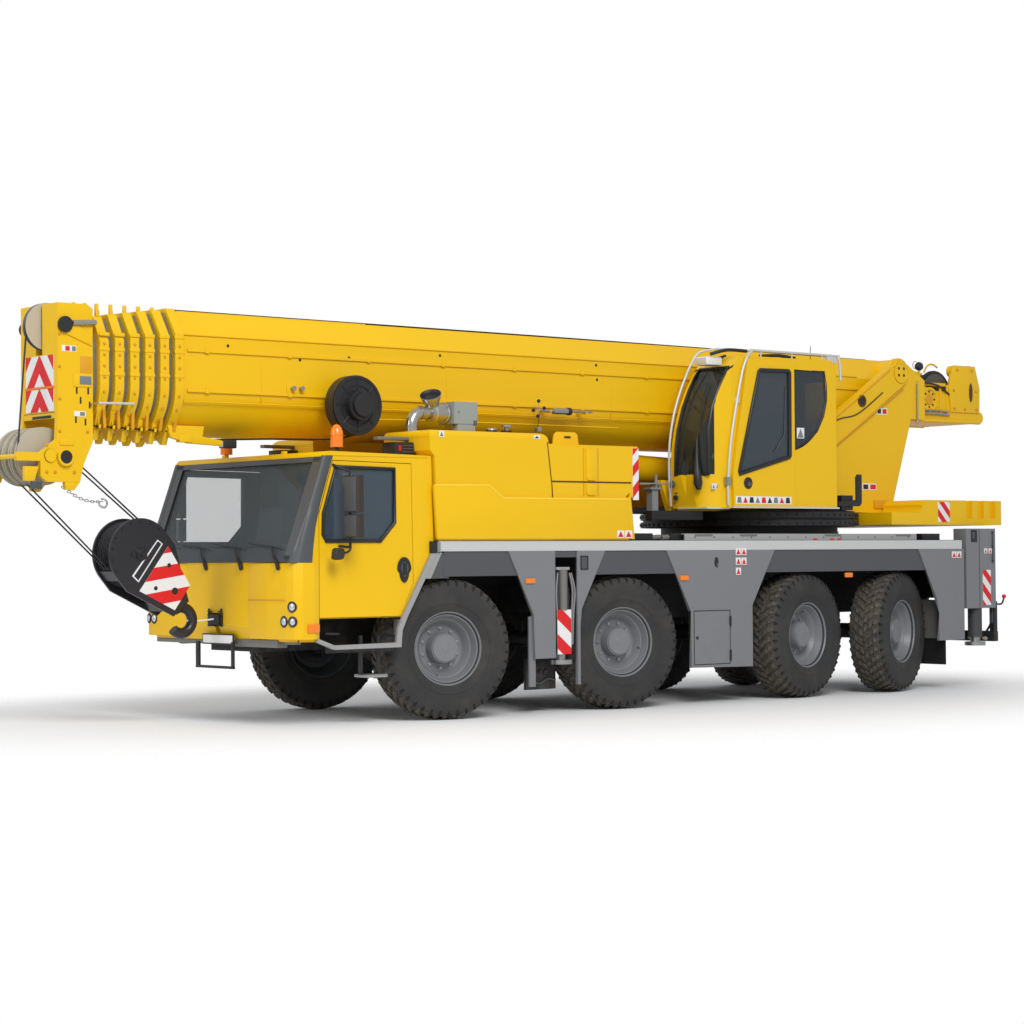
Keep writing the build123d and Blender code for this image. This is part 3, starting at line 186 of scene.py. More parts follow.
def ringed(name, color, roughness):
    # Tyre rubber: dusty where the road reaches it, with moulded rings on the sidewall.
    made = Finish(name, color, roughness)
    x, z = made.along("X"), made.along("Z")
    radius = (x * x + z * z) ** 0.5
    dust = radius.rise(0.655, 0.700) * made.noise(26.0, 5.0).rise(0.30, 0.62)
    film = made.noise(3.5, 5.0).rise(0.35, 0.8) * 0.22
    made.set("Base Color", made.mix(dust * 0.75 + film, made.color, (0.135, 0.115, 0.082, 1.0)))
    rings = (radius * 420.0).sine() * radius.rise(0.43, 0.46) * (1.0 - radius.rise(0.60, 0.63))
    return made.bump(rings * 0.25 + made.noise(120.0, 3.0) * 0.35, 0.0012)


def rolled(name, color, roughness, pitch):
    # Rope wound on a drum, one turn beside the other along Y; the hollows between turns are darkened as
    # painted shade.
    made = Finish(name, color, roughness, metallic=0.4)
    wave = (made.along("Y") * (2 * pi / pitch)).sine()
    made.set("Base Color", made.mix(wave.rise(-0.9, 0.5), (0.006, 0.006, 0.006, 1.0), made.color))
    return made.bump(wave, 0.004)


finishes = {
    "yellow": Finish("craneYellow", (0.85, 0.510, 0.003), 0.40, coat=0.08).paint(),
    "skirtGrey": Finish("skirtGrey", (0.200, 0.202, 0.213), 0.45).paint(dust=0.18),
    "bandGrey": Finish("bandGrey", (0.080, 0.081, 0.088), 0.48).paint(dust=0.2),
    "legGrey": Finish("legGrey", (0.33, 0.33, 0.325), 0.40).paint(dust=0.3),
    "railSilver": Finish("railSilver", (0.60, 0.61, 0.60), 0.38, metallic=0.15).paint(),
    "deckGrey": Finish("deckGrey", (0.055, 0.055, 0.058), 0.6).paint(),
    "black": Finish("frameBlack", (0.010, 0.010, 0.011), 0.5).paint(dust=0.35),
    "boxGrey": Finish("boxGrey", (0.30, 0.34, 0.335), 0.42).paint(),
    "tubeGrey": Finish("tubeGrey", (0.20, 0.195, 0.18), 0.40, metallic=0.3).paint(),
    "plastic": Finish("plasticBlack", (0.016, 0.016, 0.018), 0.42),
    "rubber": Finish("rubberBlack", (0.006, 0.006, 0.006), 0.8),
    "trim": Finish("trimGrey", (0.075, 0.08, 0.085), 0.35),
    "cabin": Finish("cabinGrey", (0.028, 0.029, 0.032), 0.75),
    "glass": Finish("glassTinted", (0.055, 0.080, 0.105), 0.06, coat=0.4, alpha=0.80),
    "clearGlass": Finish("glassClear", (0.120, 0.145, 0.155), 0.05, coat=0.3, alpha=0.29),
    "farGlass": Finish("glassFar", (0.075, 0.090, 0.095), 0.05, coat=0.2, alpha=0.05),
    "darkGlass": Finish("glassDark", (0.045, 0.062, 0.075), 0.06, coat=0.4, alpha=0.74),
    "quarterGlass": Finish("glassQuarter", (0.045, 0.060, 0.070), 0.06, coat=0.4, alpha=0.50),
    "oliveGlass": Finish("glassOlive", (0.030, 0.034, 0.026), 0.05, coat=0.4, alpha=0.55),
    "cowl": Finish("cowlGrey", (0.042, 0.050, 0.058), 0.4),
    "mirrorBrown": Finish("mirrorBrown", (0.030, 0.024, 0.019), 0.5),
    "beige": Finish("sheaveBeige", (0.47, 0.43, 0.335), 0.5),
    "groove": Finish("sheaveGroove", (0.11, 0.10, 0.08), 0.6),
    "rope": Finish("ropeDark", (0.022, 0.021, 0.020), 0.5, metallic=0.3),
    "steel": Finish("steelPlain", (0.42, 0.42, 0.41), 0.32, metallic=0.85),
    "stainless": Finish("exhaustSteel", (0.50, 0.485, 0.45), 0.22, metallic=0.9),
    "chrome": Finish("chrome", (0.78, 0.78, 0.78), 0.09, metallic=1.0),
    "rimGrey": Finish("rimGrey", (0.205, 0.208, 0.22), 0.45, metallic=0.1),
    "tyre": ringed("tyreRubber", (0.026, 0.026, 0.027), 0.78),
    "drum": rolled("drumRope", (0.10, 0.095, 0.085), 0.45, 0.022),
    "white": Finish("paintWhite", (0.80, 0.80, 0.79), 0.4),
    "red": Finish("paintRed", (0.70, 0.008, 0.010), 0.5),
    "orangeRed": Finish("bandOrange", (0.85, 0.20, 0.01), 0.4),
    "lensWhite": Finish("lensWhite", (0.62, 0.66, 0.74), 0.08, metallic=0.5, coat=0.6),
    "lensOrange": Finish("lensOrange", (0.90, 0.22, 0.01), 0.22, coat=0.5),
    "lensRed": Finish("lensRed", (0.42, 0.008, 0.006), 0.2, coat=0.5),
    "seam": Finish("seamDark", (0.085, 0.038, 0.004), 0.6),
    # A lighter yellow for a bead along an edge: painted highlight.
    "paintedHighlightYellow": Finish("yellowPaintedHighlight", (0.96, 0.66, 0.03), 0.4),
    # A darker copy of the yellow paint: painted shade on bolts, grooves, creases, braces and lower plates.
    "paintedShadeYellow": Finish("yellowPaintedShade", (0.70, 0.33, 0.006), 0.5),
    "plateGrey": Finish("plateGrey", (0.17, 0.20, 0.22), 0.35),
    "hookBlack": Finish("blockBlack", (0.014, 0.014, 0.018), 0.38, coat=0.2).paint(),
}
finishes["yellow"].set("Specular IOR Level", 0.32)
print("stage: finishes")


# Studio: a pale room with two large soft lights and a floor that fades out around the vehicle.
studioValues = {
    "lights": (("keyLight", (-9, -17, 15), (0, 0, 1.5), 10, 3100),
               ("frontLight", (-22, 2, 9), (-2, 0, 2.0), 8, 1080)),
    "roomLight": ((0.95, 0.97, 1.0, 1.0), 0.54), "background": ((1.0, 1.0, 1.0, 1.0), 1.0),
    "floorHalf": 150, "floorZ": -0.002, "floorMiddle": 0.5, "fadeStretch": 2.6, "fade": (3.2, 6.5),
}


def areaLight(name, place, aim, size, power):
    light = bpy.data.lights.new(name, "AREA")
    light.shape, light.size, light.energy = "DISK", size, power
    lamp = link(bpy.data.objects.new(name, light))
    turn = (Vector(aim) - Vector(place)).to_track_quat("-Z", "Y").to_matrix().to_4x4()
    lamp.matrix_world = Matrix.Translation(place) @ turn


def room():
    # The camera sees plain white, also through glass, and everything else gets the room's softer light.
    world = bpy.data.worlds.new("studio")
    scene.world = world
    tree = Tree(world)
    cameraRay, glassRay = (tree.node("ShaderNodeLightPath", output=name)
                           for name in ("Is Camera Ray", "Is Transmission Ray"))
    light = tree.node("ShaderNodeBackground", None, studioValues["roomLight"])
    pale = tree.node("ShaderNodeBackground", None, studioValues["background"])
    seen = cameraRay.math("MAXIMUM", cameraRay, glassRay)
    shown = tree.node("ShaderNodeMixShader", None, (seen, light, pale))
    tree.feed(tree.nodes["World Output"].inputs["Surface"], shown)


def floor():
    half, z = studioValues["floorHalf"], studioValues["floorZ"]
    mesh = bpy.data.meshes.new("floor")
    mesh.from_pydata([(-half, -half, z), (half, -half, z), (half, half, z), (-half, half, z)], [],
                     [(0, 1, 2, 3)])
    pale = Finish("floorPale", (0.90, 0.90, 0.90), 0.9)
    x, y = pale.along("X") + studioValues["floorMiddle"], pale.along("Y")
    distance = (x * x / studioValues["fadeStretch"] + y * y) ** 0.5
    pale.set("Alpha", 1.0 - distance.rise(*studioValues["fade"]))
    mesh.materials.append(pale.material)
    link(bpy.data.objects.new("floor", mesh))


for values in studioValues["lights"]:
    areaLight(*values)
room()
floor()
scene.view_settings.view_transform = "Standard"
print("stage: studio")


def circle(centre, side, other, r, count):
    # Points of a circle that lies in the directions side and other. With r = 1 their lengths are its radii.
    return [centre + r * (side * cos(2 * pi * k / count) + other * sin(2 * pi * k / count))
            for k in range(count)]


def curve(points, steps=6):
    # A smooth line through the points.
    points = [Vector(p) for p in points]
    line = []
    for i in range(len(points) - 1):
        a, b, c, d = points[max(i - 1, 0)], points[i], points[i + 1], points[min(i + 2, len(points) - 1)]
        for k in range(steps):
            t = k / steps
            bend = (2 * a - 5 * b + 4 * c - d) * t * t + (3 * b - a - 3 * c + d) * t ** 3
            line.append(0.5 * (2 * b + (c - a) * t + bend))
    return line + [points[-1]]


def rectangle(width, height):
    return [(0, 0), (width, 0), (width, height), (0, height)]


def cutBand(outline, slope, low, high):
    # The part of a convex outline where u + slope * v lies between low and high.
    for limit, sign in ((low, 1), (high, -1)):
        kept = []
        for (u0, v0), (u1, v1) in zip(outline, outline[1:] + outline[:1]):
            d0, d1 = sign * (u0 + slope * v0 - limit), sign * (u1 + slope * v1 - limit)
            if d0 >= 0:
                kept.append((u0, v0))
            if d0 * d1 < 0:
                t = d0 / (d0 - d1)
                kept.append((u0 + t * (u1 - u0), v0 + t * (v1 - v0)))
        outline = kept
    return outline


class Piece:
    # Gathers bevelled solids, given in millimetres from the first axle, into one mesh with a finish on
    # each face. With both, a copy mirrored across the vehicle's middle goes in too.
    def __init__(self, name, both=False):
        self.name, self.both = name, both
        self.mesh = bmesh.new()
        self.used = []

    def add(self, solid, finish, bevel=0.0, smooth=True):
        if bevel:
            bmesh.ops.bevel(solid, geom=solid.edges[:], offset=bevel, offset_type="OFFSET", segments=2,
                            profile=0.6, affect="EDGES", clamp_overlap=True)
        if finish not in self.used:
            self.used.append(finish)
        for face in solid.faces:
            face.material_index, face.smooth = self.used.index(finish), smooth
        part = bpy.data.meshes.new("part")
        for side in ((1, -1) if self.both else (1,)):
            if side < 0:
                bmesh.ops.scale(solid, vec=(1, -1, 1), verts=solid.verts)
                bmesh.ops.reverse_faces(solid, faces=solid.faces)
            solid.to_mesh(part)
            self.mesh.from_mesh(part)
        bpy.data.meshes.remove(part)
        solid.free()
        return self

    def shell(self, rings, finish, bevel=0.0, caps=(0, -1), closed=False, smooth=True):
        # Outlines of one count of points, joined in order; caps says which of them get a face.
        # An outline that is one point repeated is a tip.
        solid = bmesh.new()
        made = []
        for ring in rings:
            tip = all(p == ring[0] for p in ring)
            made.append([solid.verts.new(ring[0])] * len(ring) if tip else [solid.verts.new(p) for p in ring])
        for cap in caps:
            solid.faces.new(made[cap])
        for a, b in zip(made, made[1:] + made[:1] if closed else made[1:]):
            for k in range(len(a)):
                m = (k + 1) % len(a)
                corners = list(dict.fromkeys((a[k], a[m], b[m], b[k])))
                if len(corners) > 2:
                    solid.faces.new(corners)
        bmesh.ops.recalc_face_normals(solid, faces=solid.faces)
        return self.add(solid, finish, bevel, smooth)

    def box(self, x0, x1, y0, y1, z0, z1, finish, bevel):
        solid = bmesh.new()
        middle = Matrix.Translation(((x0 + x1) / 2, (y0 + y1) / 2, (z0 + z1) / 2))
        size = Matrix.Diagonal((abs(x1 - x0), abs(y1 - y0), abs(z1 - z0), 1.0))
        bmesh.ops.create_cube(solid, size=1.0, matrix=middle @ size)
        return self.add(solid, finish, bevel)

    def prism(self, axis, low, high, outline, finish, bevel=0.0):
        place = {"x": (2, 0, 1), "y": (0, 2, 1), "z": (0, 1, 2)}[axis]
        rings = [[Vector([(*point, depth)[k] for k in place]) for point in outline] for depth in (low, high)]
        return self.shell(rings, finish, bevel)

    def slab(self, corner, across, upward, outward, outline, low, high, finish):
        # A plate on a leaning face, its outline counted from a corner along across and upward.
        rings = [[corner + across * u + upward * v + outward * w for u, v in outline] for w in (low, high)]
        return self.shell(rings, finish)

    def tube(self, points, r, finish, count=10, closed=False):
        # A rod or hose along a line of points; r may change from point to point.
        points = [Vector(p) for p in points]
        radii = r if isinstance(r, (list, tuple)) else [r] * len(points)
        rings, side = [], None
        for i, point in enumerate(points):
            before = points[i - 1] if i or closed else point
            after = points[(i + 1) % len(points)] if i < len(points) - 1 or closed else point
            along = (after - before).normalized()
            if side is None:
                side = along.orthogonal().normalized()
            side = (side - along * side.dot(along)).normalized()
            rings.append(circle(point, side, along.cross(side), radii[i], count))
        return self.shell(rings, finish, caps=() if closed else (0, -1), closed=closed)

    def hose(self, points, r, finish, count=10):
        return self.tube(curve(points), r, finish, count)

    def lathe(self, profile, place, direction, finish, count=28):
        # profile: (distance along the direction, radius) from one end to the other.
        direction = Vector(direction).normalized()
        side = direction.orthogonal().normalized()
        other = direction.cross(side)
        rings = [circle(Vector(place) + direction * along, side, other, r, count) for along, r in profile]
        return self.shell(rings, finish, caps=())

    def disc(self, place, direction, r, depth, finish, count=28):
        edge = min(3.0, depth / 3)
        profile = ((0, 0), (0, r), (depth - edge, r), (depth, r - edge), (depth, 0))
        return self.lathe(profile, place, direction, finish, count)

    def oval(self, place, halfWidth, halfHeight, depth, finish, count=28):
        # Flat oval on a left side face.
        x, y, z = place
        turns = [2 * pi * k / count for k in range(count)]
        outline = [(x + halfWidth * cos(a), z + halfHeight * sin(a)) for a in turns]
        return self.prism("y", y - depth, y, outline, finish, min(4.0, depth / 3))

    def bolt(self, place, direction, r, finish):
        washer = ((-2, 0), (-2, r * 1.3), (2, r * 1.3), (2, 0))
        nut = ((0, 0), (0, r), (r * 0.7, r), (r * 0.95, r * 0.75), (r * 0.95, 0))
        return self.lathe(washer, place, direction, finish, 12).lathe(nut, place, direction, finish, 6)

    def stripes(self, corner, across, upward, outline, pitch, slope, start=0.0, depth=4.0, flip=False):
        # A white plate with slanted red bands, cut to a convex outline given in millimetres from its corner.
        corner, across, upward = Vector(corner), Vector(across).normalized(), Vector(upward).normalized()
        outward = across.cross(upward) * (-1 if flip else 1)
        self.slab(corner, across, upward, outward, outline, 0, depth, "white")
        reach = [u + slope * v - start for u, v in outline]
        for n in range(int(min(reach) // (2 * pitch)), int(max(reach) // (2 * pitch)) + 1):
            low = start + 2 * n * pitch
            band = cutBand(outline, slope, low, low + pitch)
            if len(band) > 2:
                self.slab(corner, across, upward, outward, band, depth - 0.5, depth + 1.0, "red")
        return self

    def label(self, x, y, z, width, height, mark="red"):
        # Small blank notice on a side face: white with a mark.
        out = 1 if y > 0 else -1
        triangle = ((x + 8, z + 8), (x + width - 8, z + 8), (x + width / 2, z + height - 8))
        self.box(x, x + width, y, y + out * 2, z, z + height, "white", 0)
        return self.prism("y", y + out * 1.8, y + out * 2.6, triangle, mark)

    def toMesh(self, place, sharpAngle):
        toMetres = Matrix.Translation(place) @ Matrix.Scale(0.001, 4)
        bmesh.ops.transform(self.mesh, matrix=toMetres, verts=self.mesh.verts)
        mesh = bpy.data.meshes.new(self.name)
        self.mesh.to_mesh(mesh)
        self.mesh.free()
        for finish in self.used:
            mesh.materials.append(finishes[finish].material)
        mesh.set_sharp_from_angle(angle=radians(sharpAngle))
        return mesh


def build(name, body, parts, both=False):
    # parts names the kinds of solid, as methods of Piece, each with a row of that method's values for every
    # solid: a box is (x0, x1, y0, y1, z0, z1, finish, bevel), a tube (points, radius, finish, sides, closed).
    piece = Piece(name, both)
    for kind, rows in parts.items():
        for row in rows:
            getattr(piece, kind)(*row)
    made = link(bpy.data.objects.new(name, piece.toMesh((-firstAxle / 1000, 0, 0), 38)))
    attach(made, body)


# Finishes of the CAD nodes, face by face. The centres are (x, z) in millimetres.
centres = {
    "topSheave": (-3800, 3790), "lowerSheave": (-3950, 2570), "hookBlock": (-2880, 1660),
    "winch": (8440, 3590), "boomPin": (7490, 3814), "reel": (-740, 3125),
}


def reach(centre, x, z):
    return hypot(x - centres[centre][0], z - centres[centre][1])


def outwardness(x, y, z, normal, middle):
    # 1 where a face looks away from the middle of its shell, -1 where it looks into it.
    return normal.dot(Vector([p - m for p, m in zip((x, y, z), middle)]).normalized())


def paintNode(name, rule):
    mesh = frame["nodes"][name].data
    mesh.materials.clear()
    used = []
    for face in mesh.polygons:
        x, y, z = (c * 1000 for c in face.center)
        finish = rule(x + firstAxle, y, z, face.normal)
        if finish not in used:
            used.append(finish)
            mesh.materials.append(finishes[finish].material)
        face.material_index = used.index(finish)


def plain(finish):
    return lambda x, y, z, n: finish


def sideFrameRule(x, y, z, n):
    return "railSilver" if z > 1645 else "legGrey"


def skirtRule(x, y, z, n):
    if abs(y) < 1310:
        return "tubeGrey" if n.x < -0.5 and z < 1400 else "black"
    if 900 < x < 1300 and z < 1100 and (n.x < -0.5 or abs(n.y) > 0.5):
        return "skirtGrey"
    if abs(n.y) > 0.9 and 1340 < abs(y) < 1374 and z > 1400:
        return "bandGrey"
    return "skirtGrey" if abs(y) > 1350 else "black"


def cabShellRule(x, y, z, n):
    outward = outwardness(x, y, z, n, (-1080, 0, 1830))
    if x < -1380 and abs(n.x) < 0.5 and 1600 < z < 2540 and abs(y) < 1170 and outward < 0.5:
        return "plastic"
    inside = x > -1890 and abs(y) < 1300 and 1070 < z < 2600 and outward < 0.2
    return "cabin" if inside or z < 1100 and n.z < -0.5 else "yellow"


def doorRule(x, y, z, n):
    if abs(y) > 1340:
        return "mirrorBrown" if abs(y) > 1460 and z > 1790 else "plastic"
    if abs(y) < 1298:
        return "cabin"
    window = -1600 < x < -735 and 1765 < z < 2490 and abs(y) < 1330
    if window and abs(n.y) > 0.6:
        return "glass" if y < 0 else "farGlass"
    return "plastic" if window and abs(n.y) < 0.5 and -1595 < x < -740 else "yellow"


def lampRule(x, y, z, n):
    if x > 7000:
        return "lensRed"
    if z > 2688:
        return "lensOrange"
    if z > 2500:
        return "plastic"
    return "lensOrange" if abs(y) > 1150 and z < 1000 else "lensWhite"


def exhaustRule(x, y, z, n):
    if x > 700:
        return "plastic"
    if x > 265 and z > 2940:
        return "boxGrey"
    return "plastic" if z > 3165 else "stainless"


def turntableRule(x, y, z, n):
    if reach("winch", x, z) < 277 and abs(y) < 392:
        return "drum"
    if reach("winch", x, z) < 312 and abs(y) < 372:
        return "plastic"
    if z < 2175 or abs(y) > 660:
        return "black"
    return "steel" if reach("boomPin", x, z) < 92 and abs(y) > 640 else "yellow"


def postRule(x, y, z, n):
    return "black" if z < 2130 and x > 3100 or z < 2095 else "skirtGrey"


def craneShellRule(x, y, z, n):
    if y < -1264:
        return "railSilver"
    if x > 5662:
        return "plastic"
    edge = abs(y + 1242) < 22 or abs(y + 692) < 22
    if edge and abs(n.y) < 0.5 and 2180 < z < 3750 and x > 3980:
        return "plastic"
    inside = -1232 < y < -700 and 2160 < z < 3790 and outwardness(x, y, z, n, (4750, -967, 2975)) < 0.15
    return "cabin" if inside else "yellow"


def craneGlassRule(x, y, z, n):
    return "quarterGlass" if abs(n.y) > 0.9 and y < -1100 and x > 4900 else "oliveGlass"


def craneDoorRule(x, y, z, n):
    if -1293 < y < -1275 and abs(n.y) > 0.5 and 2490 < z < 3685 and 4020 < x < 4860:
        return "darkGlass"
    frontEdge = abs(x - 3945 - (z - 2480) * 0.188) < 30
    return "plastic" if abs(n.y) < 0.5 and 4022 < x < 4858 and 2495 < z < 3682 and not frontEdge else "yellow"


def boomRule(x, y, z, n):
    return "plastic" if y < -585 and z < 3500 and x < 0 else "yellow"


def sectionFront(index):
    return -2700 - 150 * index


def sectionRule(index):
    return lambda x, y, z, n: "tubeGrey" if x > sectionFront(index) + 90 else "yellow"


def headRule(x, y, z, n):
    return "tubeGrey" if x > -3480 else "yellow"


def sheaveRule(x, y, z, n):
    near = min(reach("lowerSheave", x, z), reach("topSheave", x, z))
    if near < 63:
        return "yellow" if z < 3000 and abs(y) > 345 else "plastic"
    return "groove" if abs(n.y) < 0.93 and near < 262 and abs(near - 225) > 4 else "beige"


def blockRule(x, y, z, n):
    # The ropes are the part ahead of the block, along its tilt.
    x0, z0 = centres["hookBlock"]
    return "rope" if (x - x0) * 0.643 - (z - z0) * 0.766 < -352 else "hookBlack"


def rearBeamRule(x, y, z, n):
    return "skirtGrey" if abs(y) > 1178 and z > 945 else "deckGrey"


nodeRules = {
    "chassis_frame": plain("black"), "axle_beams": plain("black"), "slewing_ring": plain("black"),
    "engine_block": plain("deckGrey"), "deck": plain("deckGrey"), "mudflaps": plain("rubber"),
    "side_frames": sideFrameRule, "side_skirts": skirtRule, "carrier_cab_shell": cabShellRule,
    "carrier_cab_glass": plain("clearGlass"), "cab_interior": plain("cabin"), "carrier_lamps": lampRule,
    "cab_door_left": doorRule, "cab_door_right": doorRule, "engine_fairings": plain("yellow"),
    "exhaust_and_intake": exhaustRule, "turntable": turntableRule, "counterweight": plain("yellow"),
    "support_post": postRule, "crane_cab_shell": craneShellRule, "crane_cab_glass": craneGlassRule,
    "crane_cab_seat": plain("cabin"), "crane_cab_door": craneDoorRule, "boom_base": boomRule,
    "boom_head": headRule, "sheaves": sheaveRule, "luff_barrel": plain("yellow"), "luff_rod": plain("chrome"),
    "hook_block": blockRule, "hook": plain("hookBlack"),
}
for index in range(1, 6):
    nodeRules[f"boom_section_{index}"] = sectionRule(index)
for side in vehicleSides:
    for axle in "1234":
        nodeRules[f"knuckle_{axle}_{side}"] = plain("black")
    nodeRules[f"outrigger_beam_front_{side}"] = plain("bandGrey")
    nodeRules[f"outrigger_beam_rear_{side}"] = rearBeamRule
    for place in ("front", "rear"):
        nodeRules[f"outrigger_jack_{place}_{side}"] = plain("steel")
for name, rule in nodeRules.items():
    paintNode(name, rule)
print("stage: node finishes")


# Wheels: one shared mesh, tyre and rim about the local Y axis, which points outwards.
# Each profile is (distance along the axis, radius). A tread row is (near edge, far edge, turn at each of
# them, radius at each of them, share of the pitch that a block fills).
wheelValues = {
    "tyre": ((150, 335), (178, 350), (188, 362), (200, 400), (209, 440), (213, 446), (216, 449), (216, 453),
             (213, 457), (214.5, 500), (214, 560), (209, 600), (201, 632), (189, 660), (172, 676),
             (120, 681), (0, 684)),
    "rim": ((150, 335), (182, 368), (190, 366), (190, 359), (178, 350), (160, 345), (157, 338), (156, 328),
            (149, 325), (92, 298), (86, 296), (84, 288), (80, 285), (20, 250), (0, 238), (-6, 226)),
    "hub": ((-6, 226), (-8, 168), (-8, 158), (30, 155), (102, 146), (110, 143), (110, 134), (121, 130),
            (121, 40), (124, 36), (124, 0)),
    "innerRim": ((-150, 335), (-186, 366), (-186, 352), (-150, 322), (-20, 262), (-14, 226)),
    "brake": ((-9, 0), (-9, 225), (-24, 224), (-24, 0)),
    "nuts": 10, "nutCircle": 197, "valve": ((268, 30, 60), (258, 70, 66), (268, 100, 70)),
    "treadCount": 42, "treadDepth": 32, "blockTaper": 0.05,
    "treadRows": ((6, 58, 0.00, 0.36, 704, 704, 0.60), (64, 112, 0.42, 0.76, 703, 701, 0.60),
                  (119, 190, 0.86, 1.10, 699, 672, 0.56)),
    "shoulderSlot": ((622, 205, -8), (677, 192, -15), (677, 192, 15), (622, 205, 8)), "slotLift": (-14, 1.5),
    "sharpAngle": 35,
}
treadPitch = 2 * pi / wheelValues["treadCount"]


def onWheel(r, angle, y):
    return Vector((r * cos(angle), y, r * sin(angle)))


def shoulderSlots(wheel):
    # Dark slots where the shoulder blocks end on the sidewall, raised along the rubber's slope: thin plates
    # of darker rubber, painted shade for the grooves.
    for n in range(wheelValues["treadCount"]):
        for side in (1, -1):
            rings = [[onWheel(r + 0.57 * lift, n * treadPitch + across / r, side * (y + 0.82 * lift))
                      for r, y, across in wheelValues["shoulderSlot"]] for lift in wheelValues["slotLift"]]
            wheel.shell(rings, "rubber", smooth=False)


def treadBlock(wheel, n, side, near, far, nearTurn, farTurn, nearTop, farTop, share):
    # Four corners, low in the tyre and on the tread, where the block is narrower.
    corners = ((near, nearTurn, 0, nearTop), (near, nearTurn, share, nearTop), (far, farTurn, share, farTop),
               (far, farTurn, 0, farTop))
    taper = wheelValues["blockTaper"]
    rings = ([], [])
    for y, turn, edge, top in corners:
        angle = (n + turn + edge + (0.5 if side < 0 else 0)) * treadPitch
        inset = (taper if edge == 0 else -taper) * treadPitch
        rings[0].append(onWheel(top - wheelValues["treadDepth"], angle, side * y))
        rings[1].append(onWheel(top, angle + inset, side * (y + 2 if y == near else y - 3)))
    wheel.shell(rings, "tyre", caps=(1,), smooth=False)


def wheelMesh():
    wheel = Piece("wheel")
    outer = wheelValues["tyre"]
    whole = outer + tuple((-along, r) for along, r in reversed(outer[:-1]))
    for profile, finish, count in ((whole, "tyre", 96), (wheelValues["rim"], "rimGrey", 72),
                                   (wheelValues["hub"], "rimGrey", 60), (wheelValues["innerRim"], "trim", 48),
                                   (wheelValues["brake"], "plastic", 48)):
        wheel.lathe(profile, (0, 0, 0), toRight, finish, count)
    for n in range(wheelValues["nuts"]):
        angle = 2 * pi * n / wheelValues["nuts"]
        wheel.disc(onWheel(wheelValues["nutCircle"], angle, -8), toRight, 23, 5, "trim", 14)
        wheel.bolt(onWheel(wheelValues["nutCircle"], angle, -3), toRight, 16, "steel")
    wheel.tube(wheelValues["valve"], 5, "steel", 6)
    shoulderSlots(wheel)
    for row in wheelValues["treadRows"]:
        for n in range(wheelValues["treadCount"]):
            for side in (1, -1):
                treadBlock(wheel, n, side, *row)
    return wheel.toMesh((0, 0, 0), wheelValues["sharpAngle"])


wheelShape = wheelMesh()
for joint in record["behaviour"]["joints"]:
    if joint["name"].startswith("roll_"):
        number, side = joint["name"].split("_")[1:]
        outward = vehicleSides[side] * Vector(joint["axis"])
        steered = Matrix.Rotation(atan2(-outward.x, outward.y), 4, "Z")
        turned = Matrix.Rotation(0.5 * pi * int(number), 4, "Y")
        wheel = link(bpy.data.objects.new(f"tyreAndRim_{number}_{side}", wheelShape))
        wheel.matrix_world = Matrix.Translation(joint["pos_m"]) @ steered @ turned
        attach(wheel, f"wheel_{number}_{side}")
        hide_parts(f"wheel_{number}_{side}")
print("stage: wheels")


# Boom head: warning plates, rope, labels and fittings. The rope bends a quarter turn over the top sheave.
headRope = {"start": (-3470, -40, 3999), "bendRadius": 199, "bendSteps": 8, "end": (-4196, -186, 2590),
            "radius": 9}


def ropeOverHead():
    x, z = centres["topSheave"]
    r, steps = headRope["bendRadius"], headRope["bendSteps"]
    angles = [0.5 * pi * k / steps for k in range(steps + 1)]
    return [headRope["start"]] + [(x - r * sin(a), 0, z + r * cos(a)) for a in angles] + [headRope["end"]]


headDetails = {
    "stripes": [((-3871, -15, low), (0, side, 0), upwards, rectangle(262, high - low), 140, 0.8,
                 0.8 * (high - low) - 130, 4, side > 0)
                for low, high in ((3225, 3512), (2990, 3200)) for side in (1, -1)],
    "box": [
        (-3877, -3869, -290, 262, 3203, 3222, "orangeRed", 1),
        (-3873, -3868, -300, 290, 2975, 2979, "seam", 0),
        (-3874, -3868, -230, 130, 2926, 2952, "plastic", 2),
        (-3710, -3512, -357, -349, 3214, 3335, "yellow", 3),
        (-3643, -3522, -360, -356, 3240, 3317, "plateGrey", 1),
        # The darker yellow plate is painted shade.
        (-3637, -3508, -352, -349, 3345, 3503, "paintedShadeYellow", 1),
        (-3827, -3675, -353, -349, 3539, 3596, "white", 1),
        (-3790, -3745, -355, -352, 3546, 3589, "red", 0),
        (-3720, -3682, -355, -352, 3546, 3589, "plateGrey", 0),
        (-3700, -3580, -354, -349, 2940, 2990, "white", 1),
        (-3640, -3590, -355, -353, 2948, 2982, "plateGrey", 0),
        (-3852, -3706, -358, -349, 2669, 2730, "yellow", 4),
        (-4130, -4030, -345, -300, 2262, 2332, "trim", 5),
    ] + [(x, x + 16, -355, -349, z, z + 62, "plastic", 2)
         for x, z in ((-3680, 3150), (-3560, 3150), (-3640, 3060), (-3545, 3020), (-3690, 2880),
                      (-3590, 2860))],
    "tube": (
        ([(-3500, -452, 3066), (-3120, -452, 3072)], 12, "railSilver"),
        ([(-3500, -452, 3066), (-3530, -352, 3060)], 8, "steel"),
        (ropeOverHead(), headRope["radius"], "rope"),
    ),
    "prism": (("y", -362, -347, ((-3745, 3835), (-3512, 3700), (-3512, 3600), (-3780, 3700)), "yellow", 3),),
}
build("headDetails", "boom_head", headDetails)

